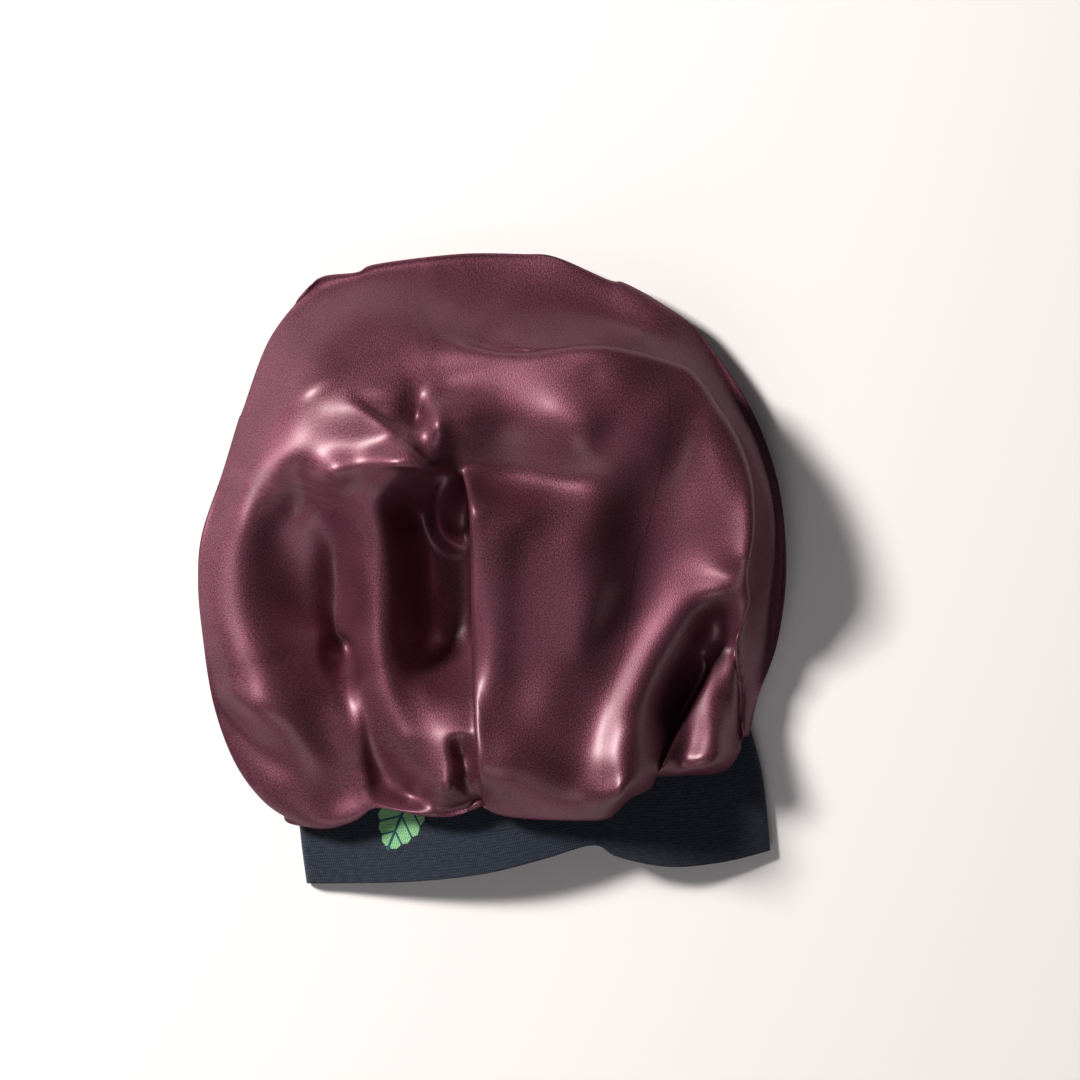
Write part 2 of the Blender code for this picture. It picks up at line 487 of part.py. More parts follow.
def overhang_rings(plan, turn, seam):
    """Rings that hang from the outline over the band's arch and turn back on themselves at the seam."""
    tuck = np.clip(MOST_TUCK * (seam[:, 1] - plan[:, 1]), 0.0, TUCK_NEAR)
    rings = []
    for angle in np.radians(TUCK_ANGLES):
        place = plan + np.outer(tuck * (1.0 - np.cos(angle)), (0.0, 1.0))
        clear = band_top(place) + SEAM_TURN
        rings.append(np.column_stack([place, clear + (turn - clear) * (1.0 - np.sin(angle))]))
    turn_top = seam + np.array((0.0, 0.0, SEAM_TURN))
    turn_back = seam + np.array((0.0, SEAM_TURN_DEPTH * SEAM_TURN, 0.5 * SEAM_TURN))
    between = rings[-1] + OVERHANG_SHARE * (turn_top - rings[-1])
    return [*rings, between, turn_top, turn_back]


def underside_rings(rim):
    """Rings from the crown's outline, under it and on to the seam, as arrays of places.

    Beyond the band the cloth lies on the floor. Over the band it hangs clear of the arch.
    """
    plan, turn = rim[:, :2], rim[:, 2]
    run = run_lengths(np.vstack([plan, plan[:1]]))
    total, run = run[-1], run[:-1]
    first, last = (run[np.argmin(np.linalg.norm(plan - end, axis=1))] for end in OVERHANG_ENDS)
    near_length = (last - first) % total
    from_first = (run - first) % total
    over_band = from_first <= near_length

    # once round the band's end: back over the arch for the overhang, along the floor for the rest,
    # where the cloth beside the band's left end gathers towards its corner
    floor_share = (from_first - near_length) / (total - near_length)
    gathered = floor_share**2 * (2.0 - floor_share)
    across = np.where(over_band, 1.0 - from_first / near_length, gathered)
    half_turn = np.arccos(1.0 - 2.0 * across) / (2.0 * np.pi)
    around = np.where(over_band, 1.0 - half_turn, half_turn)
    seam = band_section(0.0, around) + np.array((0.0, SEAM_GAP, 0.0))

    from_corner = np.minimum(from_first / CORNER_BLENDS[0], (near_length - from_first) / CORNER_BLENDS[1])
    share = smoothstep(np.where(over_band, from_corner, 0.0))[:, None]
    # past the corner the cloth first climbs the band's folded side, then moves over it
    mix = np.hstack([share**2, share**2, 1.0 - (1.0 - share) ** 2])
    pairs = zip(floor_rings(plan, turn, seam), overhang_rings(plan, turn, seam))
    return [lying + mix * (over - lying) for lying, over in pairs] + [seam]


def build_crown(material, collection):
    mesh = bmesh.new()
    bmesh.ops.create_grid(mesh, x_segments=CROWN_SQUARES, y_segments=CROWN_SQUARES, size=1.0)
    sides = outline_sides()
    square = {v: (round(v.co.x, 6), round(v.co.y, 6)) for v in mesh.verts}
    plan = np.array([cage_place(*square[v], sides) for v in mesh.verts])
    for vertex, place, height in zip(mesh.verts, plan, crown_heights(plan)):
        vertex.co = (*place, height)

    rim = [v for v in mesh.verts if v.is_boundary]
    rim.sort(key=lambda v: -np.arctan2(square[v][1], square[v][0]))
    for places in underside_rings(np.array([v.co for v in rim])):
        rim = extrude_ring(mesh, rim, places)
    return finish_shell("satin_crown", mesh, CROWN_WALL, material, collection)


def build_band(material, collection):
    around = np.arange(2 * BAND_STEPS_ACROSS) / (2 * BAND_STEPS_ACROSS)
    mesh = bmesh.new()
    made = bmesh.ops.create_circle(mesh, segments=len(around), radius=1.0, cap_ends=False)["verts"]
    ring = sorted(made, key=lambda v: np.arctan2(v.co.y, v.co.x))
    for vertex, place in zip(ring, band_section(0.0, around)):
        vertex.co = place
    for step in range(1, BAND_STEPS_ALONG + 1):
        ring = extrude_ring(mesh, ring, band_section(step / BAND_STEPS_ALONG, around))
    return finish_shell("jersey_band", mesh, BAND_WALL, material, collection)


def main():
    clear_scene()
    collection = bpy.data.collections.new(COLLECTION)
    bpy.context.scene.collection.children.link(collection)
    build_crown(new_material("plum_satin", SATIN_COLOUR, 0.35), collection)
    build_band(new_material("charcoal_jersey", JERSEY_COLOUR, 0.9), collection)


main()
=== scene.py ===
"""Looks of a satin sleep bonnet with a wide jersey band, lying on its back on a pale floor.

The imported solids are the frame, and both are replaced by finer cloth. Lengths are in metres, +Z is
up and the floor is at z = 0. +Y runs from the band's hem to the far end of the crown.
"""

from __future__ import annotations

import logging
import math
from dataclasses import dataclass
from enum import Enum

import bpy
import numpy as np
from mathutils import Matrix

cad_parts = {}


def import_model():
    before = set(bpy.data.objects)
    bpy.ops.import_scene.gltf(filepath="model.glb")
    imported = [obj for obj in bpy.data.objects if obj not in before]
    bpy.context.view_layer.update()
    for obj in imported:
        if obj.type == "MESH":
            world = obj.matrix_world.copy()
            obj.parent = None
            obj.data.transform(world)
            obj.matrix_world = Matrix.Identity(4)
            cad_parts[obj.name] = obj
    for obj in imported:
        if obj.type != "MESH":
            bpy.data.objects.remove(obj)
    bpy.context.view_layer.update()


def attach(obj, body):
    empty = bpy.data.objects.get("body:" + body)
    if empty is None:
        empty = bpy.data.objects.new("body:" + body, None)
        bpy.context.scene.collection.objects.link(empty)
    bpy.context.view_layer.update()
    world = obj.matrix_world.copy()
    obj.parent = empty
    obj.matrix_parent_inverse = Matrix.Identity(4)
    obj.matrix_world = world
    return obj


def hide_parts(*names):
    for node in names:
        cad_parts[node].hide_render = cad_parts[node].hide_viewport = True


LOG = logging.getLogger("bonnet")
BODY = "root"
MM = 0.001
TINY = 1e-9
NOISE_LOW, NOISE_HIGH = 0.3, 0.7  # between these lie most values of a noise texture

Rows = tuple[tuple[float, ...], ...]


class Held(Enum):
    """How a cloth came by its form."""

    GATHERED = "gathered"
    STRETCHED = "stretched"


# ---- the crown in plan, clockwise from the left: (x, y) ------------------------------------------
CROWN_OUTLINE: Rows = (
    (-0.148, -0.005), (-0.146, 0.018), (-0.136, 0.048), (-0.128, 0.075), (-0.126, 0.0795),
    (-0.113, 0.115), (-0.0946, 0.1395), (-0.086, 0.1475), (-0.0685, 0.1498), (-0.0585, 0.154),
    (-0.0175, 0.159), (0.015, 0.159), (0.032, 0.1575), (0.0585, 0.146), (0.0665, 0.1445),
    (0.084, 0.135), (0.104, 0.1195), (0.129, 0.084), (0.144, 0.0445), (0.1484, 0.001),
    (0.144, -0.037), (0.134, -0.0655), (0.130, -0.083), (0.126, -0.086), (0.1235, -0.095),
    (0.115, -0.1025), (0.0925, -0.104), (0.0815, -0.1045), (0.0797, -0.110), (0.070, -0.1147),
    (0.0655, -0.1187), (0.058, -0.125), (0.0434, -0.126), (0.010, -0.1245), (-0.0035, -0.120),
    (-0.006, -0.1165), (-0.0155, -0.123), (-0.0327, -0.1242), (-0.0574, -0.120), (-0.0685, -0.1265),
    (-0.0845, -0.1312), (-0.0987, -0.1279), (-0.1153, -0.1174), (-0.130, -0.097),
    (-0.1406, -0.0669), (-0.1462, -0.0299),
)
# corners of the crown's cage on that outline: left far, right far, right near, left near
CAGE_CORNERS: Rows = ((-0.098, 0.136), (0.104, 0.1195), (0.130, -0.083), (-0.1153, -0.1174))
CAGE_CENTRE = (-0.010, 0.000)

# how the cloth turns over at its outline: (x, y, height of the turn, radius of the turn)
CROWN_RIM: Rows = (
    (-0.148, -0.005, 0.028, 0.012), (-0.140, 0.040, 0.027, 0.014), (-0.126, 0.080, 0.022, 0.018),
    (-0.106, 0.124, 0.017, 0.014), (-0.045, 0.155, 0.014, 0.012), (0.104, 0.119, 0.014, 0.012),
    (0.148, 0.000, 0.014, 0.012), (0.134, -0.065, 0.012, 0.009), (0.130, -0.083, 0.012, 0.006),
    (0.120, -0.100, 0.022, 0.008), (0.092, -0.104, 0.032, 0.008), (0.070, -0.115, 0.038, 0.010),
    (0.043, -0.126, 0.042, 0.012), (0.010, -0.124, 0.042, 0.012), (-0.045, -0.122, 0.036, 0.009),
    (-0.068, -0.126, 0.030, 0.010), (-0.085, -0.131, 0.024, 0.012), (-0.107, -0.125, 0.020, 0.014),
    (-0.130, -0.097, 0.024, 0.013), (-0.143, -0.050, 0.027, 0.012),
)
OUTLINE_RING: Rows = CROWN_OUTLINE + CROWN_OUTLINE[:1]
RIM_RING: Rows = CROWN_RIM + CROWN_RIM[:1]

# ---- folds of the puffed front layer: (x, y, height) along each ----------------------------------
# The heights are estimates from the lights and darks of the folds.
FRONT_FOLDS: dict[str, Rows] = {
    "left tube crest": ((-0.0260, 0.0985, 0.0564), (-0.0485, 0.0985, 0.0559),
        (-0.0710, 0.0955, 0.0542), (-0.0920, 0.0855, 0.0535), (-0.1080, 0.0685, 0.0458),
        (-0.1185, 0.0470, 0.0451), (-0.1230, 0.0245, 0.0454), (-0.1245, 0.0045, 0.0427),
        (-0.1220, -0.0205, 0.0427), (-0.1150, -0.0455, 0.0453), (-0.1040, -0.0705, 0.0472),
        (-0.0930, -0.0905, 0.0387), (-0.0850, -0.0995, 0.0343)),
    "left tube outer flank": ((-0.1150, 0.0645, 0.0409), (-0.1280, 0.0455, 0.0371),
        (-0.1360, 0.0245, 0.0347), (-0.1395, 0.0045, 0.0361), (-0.1385, -0.0205, 0.0377),
        (-0.1330, -0.0455, 0.0393), (-0.1240, -0.0655, 0.0433)),
    "left turn": ((-0.1260, 0.0800, 0.0248), (-0.1480, -0.0050, 0.0311), (-0.1440, -0.0470, 0.0272),
        (-0.1150, -0.1170, 0.0265), (-0.0845, -0.1310, 0.0313)),
    "left tube inner flank": ((-0.0960, 0.0495, 0.0512), (-0.1040, 0.0345, 0.0453),
        (-0.1100, 0.0145, 0.0372), (-0.1100, -0.0105, 0.0347), (-0.1040, -0.0380, 0.0380),
        (-0.0930, -0.0655, 0.0409), (-0.0810, -0.0880, 0.0358)),
    "left tube foot": ((-0.0920, 0.0245, 0.0406), (-0.0950, 0.0045, 0.0310),
        (-0.0930, -0.0205, 0.0235), (-0.0850, -0.0480, 0.0279), (-0.0760, -0.0730, 0.0374),
        (-0.0690, -0.0930, 0.0356)),
    "bright slope": ((-0.0960, 0.0685, 0.0542), (-0.0785, 0.0795, 0.0598),
        (-0.0585, 0.0855, 0.0618), (-0.0450, 0.0855, 0.0608)),
    "groove on that slope": ((-0.0870, 0.0655, 0.0577), (-0.0700, 0.0690, 0.0624),
        (-0.0520, 0.0690, 0.0659)),
    "pink band": ((-0.1050, 0.0535, 0.0514), (-0.0860, 0.0595, 0.0587), (-0.0635, 0.0630, 0.0640),
        (-0.0400, 0.0625, 0.0709)),
    "brow": ((-0.0980, 0.0270, 0.0390), (-0.0910, 0.0405, 0.0484), (-0.0800, 0.0485, 0.0638),
        (-0.0650, 0.0525, 0.0655), (-0.0460, 0.0525, 0.0775), (-0.0330, 0.0465, 0.0717)),
    "under the brow": ((-0.0850, 0.0245, 0.0404), (-0.0760, 0.0375, 0.0561),
        (-0.0620, 0.0435, 0.0623), (-0.0450, 0.0425, 0.0666), (-0.0320, 0.0355, 0.0344)),
    "left valley": ((-0.0885, 0.0145, 0.0347), (-0.0850, -0.0055, 0.0253),
        (-0.0810, -0.0255, 0.0210), (-0.0770, -0.0415, 0.0189)),
    "centre ridge foot": ((-0.0790, 0.0195, 0.0374), (-0.0780, -0.0005, 0.0207),
        (-0.0755, -0.0185, 0.0173), (-0.0730, -0.0285, 0.0216)),
    "centre ridge": ((-0.0620, 0.0345, 0.0587), (-0.0580, 0.0120, 0.0527),
        (-0.0540, -0.0155, 0.0488), (-0.0530, -0.0395, 0.0466), (-0.0500, -0.0605, 0.0465),
        (-0.0450, -0.0775, 0.0476)),
    "light side of the centre ridge": ((-0.0710, 0.0120, 0.0376), (-0.0670, -0.0155, 0.0369),
        (-0.0650, -0.0395, 0.0386), (-0.0620, -0.0605, 0.0412)),
    "centre ridge near part": ((-0.0435, -0.0865, 0.0477), (-0.0310, -0.0895, 0.0498),
        (-0.0260, -0.0980, 0.0519), (-0.0240, -0.1105, 0.0541)),
    "centre ridge right flank": ((-0.0520, 0.0295, 0.0515), (-0.0480, 0.0095, 0.0447),
        (-0.0450, -0.0155, 0.0392), (-0.0440, -0.0380, 0.0353), (-0.0410, -0.0595, 0.0407)),
    "hollow": ((-0.0410, 0.0295, 0.0195), (-0.0380, 0.0095, 0.0166), (-0.0350, -0.0155, 0.0148),
        (-0.0340, -0.0405, 0.0154), (-0.0320, -0.0605, 0.0407)),
    "hollow beside the crease": ((-0.0230, 0.0120, 0.0120), (-0.0220, -0.0105, 0.0110),
        (-0.0200, -0.0355, 0.0120), (-0.0170, -0.0605, 0.0431)),
    "lip of the hollow": ((-0.0470, -0.0695, 0.0469), (-0.0360, -0.0755, 0.0472),
        (-0.0230, -0.0735, 0.0492)),
    "near left panel": ((-0.0570, -0.0880, 0.0357), (-0.0550, -0.1030, 0.0264),
        (-0.0460, -0.1015, 0.0342), (-0.0340, -0.1055, 0.0420)),
    "near left hem": ((-0.0530, -0.1155, 0.0306), (-0.0400, -0.1175, 0.0286),
        (-0.0300, -0.1185, 0.0388)),
    "left lobe": ((-0.0720, -0.0605, 0.0345), (-0.0690, -0.0830, 0.0366),
        (-0.0740, -0.0995, 0.0330)),
    "lower left crease": ((-0.1380, -0.0685, 0.0224), (-0.1290, -0.0795, 0.0251),
        (-0.1200, -0.0875, 0.0280), (-0.1090, -0.0945, 0.0303), (-0.0980, -0.0995, 0.0330)),
    "lower left ridge": ((-0.1310, -0.0845, 0.0257), (-0.1200, -0.0975, 0.0276),
        (-0.1070, -0.1075, 0.0300), (-0.0930, -0.1115, 0.0313)),
    "above the lower left crease": ((-0.1310, -0.0615, 0.0400), (-0.1220, -0.0725, 0.0420),
        (-0.1120, -0.0830, 0.0380), (-0.1000, -0.0925, 0.0363)),
    "lobe crease": ((-0.0890, -0.1215, 0.0292), (-0.0760, -0.1125, 0.0298),
        (-0.0630, -0.1055, 0.0337)),
    "lobe ridge": ((-0.0800, -0.1245, 0.0290), (-0.0700, -0.1185, 0.0310),
        (-0.0620, -0.1155, 0.0335)),
    "gathered star": ((-0.0450, 0.0720, 0.0643), (-0.0410, 0.0645, 0.0722),
        (-0.0340, 0.0585, 0.0699)),
    "dark side of the star": ((-0.0600, 0.0835, 0.0618), (-0.0520, 0.0775, 0.0631),
        (-0.0460, 0.0705, 0.0666)),
    "bump beside the star": ((-0.0280, 0.0805, 0.0675), (-0.0260, 0.0685, 0.0707),
        (-0.0200, 0.0565, 0.0604)),
    "crease above the star": ((-0.0400, 0.0855, 0.0582), (-0.0390, 0.0745, 0.0563)),
    "far roll crest": ((-0.0260, 0.1015, 0.0558), (0.0040, 0.1035, 0.0590),
        (0.0340, 0.1055, 0.0620), (0.0590, 0.1035, 0.0636), (0.0840, 0.0965, 0.0570),
        (0.1040, 0.0835, 0.0534)),
    "far roll light": ((-0.0240, 0.0885, 0.0594), (-0.0010, 0.0915, 0.0610),
        (0.0190, 0.0865, 0.0650), (0.0320, 0.0795, 0.0694)),
    "far roll shadow side": ((-0.0110, 0.0755, 0.0698), (0.0065, 0.0745, 0.0639),
        (0.0240, 0.0645, 0.0632), (0.0415, 0.0615, 0.0681)),
    "dent": ((0.0510, 0.0975, 0.0641), (0.0520, 0.0845, 0.0682), (0.0490, 0.0725, 0.0713)),
    "ring round the dent": ((0.0640, 0.0985, 0.0637), (0.0650, 0.0835, 0.0664),
        (0.0600, 0.0695, 0.0666), (0.0490, 0.0595, 0.0669)),
    "cross ridge": ((-0.0040, 0.0435, 0.0555), (0.0140, 0.0405, 0.0560), (0.0340, 0.0425, 0.0565),
        (0.0560, 0.0505, 0.0620), (0.0740, 0.0675, 0.0650), (0.0880, 0.0825, 0.0617)),
    "panel edge": ((-0.0040, 0.0295, 0.0696), (-0.0040, -0.0005, 0.0633),
        (-0.0030, -0.0305, 0.0597), (-0.0020, -0.0605, 0.0619), (-0.0010, -0.0880, 0.0685)),
    "panel valley": ((0.0160, 0.0245, 0.0721), (0.0130, -0.0030, 0.0679), (0.0110, -0.0305, 0.0638),
        (0.0110, -0.0605, 0.0614), (0.0130, -0.0880, 0.0697)),
    "panel ridge": ((0.0530, 0.0285, 0.0628), (0.0450, 0.0045, 0.0690), (0.0380, -0.0205, 0.0659),
        (0.0320, -0.0480, 0.0606), (0.0280, -0.0755, 0.0625)),
    "dark diagonal": ((0.0820, 0.0570, 0.0583), (0.0720, 0.0345, 0.0501), (0.0620, 0.0120, 0.0557),
        (0.0530, -0.0115, 0.0649), (0.0440, -0.0380, 0.0618)),
    "slope right of it": ((0.1010, 0.0645, 0.0562), (0.0920, 0.0370, 0.0466),
        (0.0810, 0.0120, 0.0436), (0.0680, -0.0105, 0.0505), (0.0550, -0.0355, 0.0553)),
    "right shoulder": ((0.1070, 0.0720, 0.0579), (0.1130, 0.0495, 0.0573), (0.1140, 0.0270, 0.0542),
        (0.1080, 0.0105, 0.0471)),
    "right edge": ((0.1200, 0.0645, 0.0547), (0.1270, 0.0445, 0.0564), (0.1280, 0.0245, 0.0593),
        (0.1240, 0.0045, 0.0584)),
    "lower right ridge": ((0.1180, -0.0015, 0.0497), (0.1050, -0.0025, 0.0460),
        (0.0920, -0.0125, 0.0476), (0.0800, -0.0275, 0.0499), (0.0680, -0.0455, 0.0527),
        (0.0580, -0.0655, 0.0568), (0.0510, -0.0880, 0.0613)),
    "under that ridge": ((0.1150, -0.0115, 0.0502), (0.1030, -0.0175, 0.0471),
        (0.0930, -0.0325, 0.0488), (0.0840, -0.0495, 0.0509), (0.0760, -0.0665, 0.0564)),
    "lower right hollow": ((0.1100, -0.0265, 0.0270), (0.1020, -0.0405, 0.0262),
        (0.0960, -0.0575, 0.0214), (0.0900, -0.0715, 0.0258)),
    "bright corner": ((0.0720, -0.0795, 0.0640), (0.0650, -0.0980, 0.0695),
        (0.0590, -0.1130, 0.0677)),
    "near right panel": ((0.0040, -0.1030, 0.0684), (0.0240, -0.1055, 0.0648),
        (0.0420, -0.1035, 0.0607)),
    "near right hem": ((0.0020, -0.1165, 0.0502), (0.0240, -0.1185, 0.0547),
        (0.0490, -0.1195, 0.0562), (0.0650, -0.1130, 0.0756)),
    "right crease light": ((0.1250, -0.0395, 0.0317), (0.1170, -0.0555, 0.0299),
        (0.1070, -0.0735, 0.0348), (0.0990, -0.0895, 0.0385)),
    "right fold outer edge": ((0.1280, -0.0155, 0.0461), (0.1270, -0.0355, 0.0402),
        (0.1250, -0.0605, 0.0281), (0.1230, -0.0855, 0.0226)),
    "right fold panel": ((0.1180, -0.0655, 0.0292), (0.1120, -0.0845, 0.0424),
        (0.1080, -0.0955, 0.0457)),
    "right fold hem": ((0.0940, -0.0995, 0.0397), (0.1080, -0.0995, 0.0462),
        (0.1200, -0.0965, 0.0312)),
    "near turn": ((-0.0450, -0.1220, 0.0392), (-0.0060, -0.1170, 0.0403), (0.0100, -0.1240, 0.0471),
        (0.0500, -0.1260, 0.0488), (0.0750, -0.1130, 0.0513), (0.1200, -0.1000, 0.0239),
        (0.1280, -0.0800, 0.0192)),
}

# ---- the lower layer that shows beyond the puff: (x, y, height) ----------------------------------
BACK_FOLDS: dict[str, Rows] = {
    "far turn": ((-0.1060, 0.1240, 0.0208), (-0.0770, 0.1490, 0.0076), (0.0000, 0.1600, 0.0088),
        (0.0840, 0.1350, 0.0175), (0.1370, 0.0630, 0.0029), (0.1480, -0.0150, -0.0043),
        (0.1310, -0.0790, 0.0132)),
    "far layer": ((-0.1010, 0.1095, 0.0342), (-0.0710, 0.1285, 0.0314), (-0.0310, 0.1335, 0.0282),
        (0.0140, 0.1345, 0.0238), (0.0540, 0.1255, 0.0269), (0.0900, 0.1085, 0.0397),
        (0.1160, 0.0785, 0.0393)),
    "far layer foot": ((-0.1150, 0.0865, 0.0298), (-0.0860, 0.1005, 0.0547),
        (-0.0510, 0.1095, 0.0473), (-0.0110, 0.1155, 0.0471), (0.0340, 0.1195, 0.0415),
        (0.0740, 0.1125, 0.0505), (0.0990, 0.0975, 0.0450)),
    "right layer": ((0.1280, 0.0645, 0.0314), (0.1380, 0.0345, 0.0293), (0.1400, 0.0045, 0.0239),
        (0.1370, -0.0255, 0.0206), (0.1330, -0.0555, 0.0172)),
}

# edge of the puff over the lower layer, from the left: (x, y)
PUFF_EDGE: Rows = (
    (-0.132, 0.062), (-0.086, 0.107), (-0.046, 0.120), (0.0045, 0.1105), (0.043, 0.114),
    (0.0645, 0.113), (0.094, 0.105), (0.104, 0.0985), (0.1145, 0.084), (0.126, 0.065),
    (0.1325, 0.0445), (0.1335, 0.020), (0.1305, -0.0025), (0.132, -0.016), (0.127, -0.031),
    (0.1245, -0.0385), (0.126, -0.0595), (0.1255, -0.088),
)


@dataclass(frozen=True)
class Overlap:
    """A fold that lies over the cloth beside it, its high side on the left of the way it runs."""

    curl_radius: float  # of the high side's rounded edge
    reach: float  # over which the step fades out on both sides
    undercut: float  # how far the low side slides under the high side
    path: Rows  # (x, y, height of the step), negative where the right side is the high one


OVERLAPS: dict[str, Overlap] = {
    "centre crease": Overlap(0.001, 0.008, 0.004, (
        (-0.017, 0.049, 0.000), (-0.013, 0.030, 0.044), (-0.012, -0.017, 0.050),
        (-0.0115, -0.054, 0.023), (-0.009, -0.091, 0.013), (-0.006, -0.115, 0.008))),
    "notch edge": Overlap(0.004, 0.008, 0.003, (
        (-0.078, -0.032, 0.000), (-0.072, -0.039, 0.010), (-0.066, -0.067, -0.002),
        (-0.062, -0.102, -0.003), (-0.057, -0.120, 0.000))),
    "lower right crease": Overlap(0.005, 0.008, 0.003, (
        (0.104, -0.040, 0.000), (0.107, -0.052, 0.012), (0.094, -0.075, 0.016),
        (0.081, -0.104, 0.008))),
    "knot of the star": Overlap(0.0025, 0.006, 0.001, (
        (-0.025, 0.050, 0.000), (-0.034, 0.057, 0.006), (-0.044, 0.0645, 0.005),
        (-0.056, 0.0665, 0.000))),
    "edge above the star": Overlap(0.0030, 0.007, 0.001, (
        (-0.042, 0.066, 0.000), (-0.050, 0.072, 0.005), (-0.060, 0.079, 0.004),
        (-0.073, 0.087, 0.000))),
    "brow edge": Overlap(0.005, 0.010, 0.002, (
        (-0.097, 0.026, 0.000), (-0.081, 0.047, 0.000), (-0.060, 0.051, 0.001),
        (-0.033, 0.048, 0.008), (-0.020, 0.046, 0.000))),
}


@dataclass(frozen=True)
class Wrinkle:
    """A narrow ridge or groove pressed into the cloth."""

    half_width: float
    path: Rows  # (x, y, height), negative for a groove


WRINKLES: dict[str, Wrinkle] = {
    "far layer crease": Wrinkle(0.006, (
        (-0.124, 0.072, 0.000), (-0.085, 0.092, 0.002), (-0.046, 0.109, 0.000))),
    "strap beside the crease": Wrinkle(0.0032, (
        (-0.017, 0.048, 0.000), (-0.025, 0.039, 0.014), (-0.028, 0.029, 0.018),
        (-0.0255, 0.017, 0.015), (-0.0150, 0.007, 0.000))),
    "pink bump at the star": Wrinkle(0.0040, (
        (-0.031, 0.079, 0.000), (-0.027, 0.070, 0.004), (-0.024, 0.060, 0.000))),
    "groove at the star": Wrinkle(0.0016, (
        (-0.036, 0.088, 0.000), (-0.037, 0.075, -0.003), (-0.040, 0.066, 0.000))),
    "cavity at the crease's foot": Wrinkle(0.0035, (
        (-0.017, -0.082, 0.000), (-0.0165, -0.094, -0.016), (-0.0150, -0.106, -0.012),
        (-0.013, -0.114, 0.000))),
    "arch under the brow": Wrinkle(0.0050, (
        (-0.0940, 0.036, 0.000), (-0.078, 0.0475, 0.0015), (-0.0585, 0.0525, 0.0015),
        (-0.041, 0.0525, 0.000))),
    "gap behind the strap": Wrinkle(0.0035, (
        (-0.0150, 0.0445, 0.000), (-0.0175, 0.0290, -0.010), (-0.0160, 0.0145, 0.000))),
    "pit beside the notch": Wrinkle(0.0060, (
        (-0.088, 0.010, 0.000), (-0.0840, -0.014, -0.005), (-0.0780, -0.036, -0.014),
        (-0.0755, -0.050, -0.010), (-0.0725, -0.066, -0.002), (-0.0700, -0.082, 0.000))),
    "curl in the cavity": Wrinkle(0.0016, (
        (-0.020, -0.090, 0.000), (-0.0185, -0.099, 0.006), (-0.0165, -0.109, 0.000))),
}


# ---- curves and fields ---------------------------------------------------------------------------
def smooth_path(points: Rows, steps: int = 8, closed: bool = False) -> np.ndarray:
    """A Catmull-Rom curve through rows of numbers.

    Args:
        points: the rows, of any number of columns.
        steps: points on each span of the curve.
        closed: whether the last row joins the first.

    Returns:
        The curve's points, one a row.
    """
    rows = np.asarray(points, float)
    count = len(rows)
    spans = count if closed else count - 1
    curve = []
    for i in range(spans):
        picks = [p % count if closed else min(max(p, 0), count - 1) for p in range(i - 1, i + 3)]
        before, start, end, after = rows[picks]
        for t in np.arange(steps) / steps:
            bend = 2 * before - 5 * start + 4 * end - after
            twist = 3 * (start - end) + after - before
            curve.append(start + 0.5 * t * (end - before + t * bend + t * t * twist))
    return np.array(curve if closed else curve + [rows[-1]])


def run_lengths(path: np.ndarray) -> np.ndarray:
    """Length along a plan path at each of its points."""
    return np.concatenate([[0.0], np.cumsum(np.linalg.norm(np.diff(path[:, :2], axis=0), axis=1))])


def smoothstep(x: np.ndarray) -> np.ndarray:
    """0 to 1 with level ends."""
    x = np.clip(x, 0.0, 1.0)
    return x * x * (3.0 - 2.0 * x)


def curl(distance: np.ndarray, radius: np.ndarray | float) -> np.ndarray:
    """How far a quarter-round edge has dropped: 1 at the edge, 0 a radius inside it."""
    inside = np.clip(distance / radius, 0.0, 1.0)
    return 1.0 - np.sqrt(1.0 - (1.0 - inside) ** 2)


def at_share(path: np.ndarray, shares: np.ndarray | float) -> np.ndarray:
    """Finds places along a path.

    Args:
        path: rows of x, y and any other columns.
        shares: 0 at the path's start to 1 at its end.

    Returns:
        The path's columns at each share.
    """
    run = run_lengths(path)
    return np.array([np.interp(np.asarray(shares) * run[-1], run, column) for column in path.T]).T


@dataclass
class Nearest:
    """What lies nearest to each of many places on a path."""

    distance: np.ndarray  # positive on the left of the path
    values: np.ndarray  # the path's columns past x and y
    left: np.ndarray  # unit vectors to the left of the path
    run: np.ndarray  # length along the path


def nearest_on(path: np.ndarray, places: np.ndarray) -> Nearest:
    """Finds the nearest point of a path to each place.

    Args:
        path: rows of x, y and any other columns.
        places: rows of x and y.

    Returns:
        The distances, and the path's columns, direction and length there.
    """
    count = len(places)
    best = np.full(count, np.inf)
    side = np.ones(count)
    values = np.zeros((count, path.shape[1] - 2))
    left = np.zeros((count, 2))
    run = np.zeros(count)
    runs = run_lengths(path)
    for start, end, before in zip(path[:-1], path[1:], runs):
        along = end[:2] - start[:2]
        length = np.hypot(*along) + TINY
        reach = places - start[:2]
        t = np.clip(reach @ along / length**2, 0.0, 1.0)
        distance = np.hypot(reach[:, 0] - t * along[0], reach[:, 1] - t * along[1])
        closer = distance < best
        t = t[closer]
        best[closer] = distance[closer]
        side[closer] = np.where(along[0] * reach[closer, 1] < along[1] * reach[closer, 0], -1.0, 1.0)
        values[closer] = start[2:] + t[:, None] * (end[2:] - start[2:])
        left[closer] = (-along[1] / length, along[0] / length)
        run[closer] = before + t * length
    return Nearest(best * side, values, left, run)


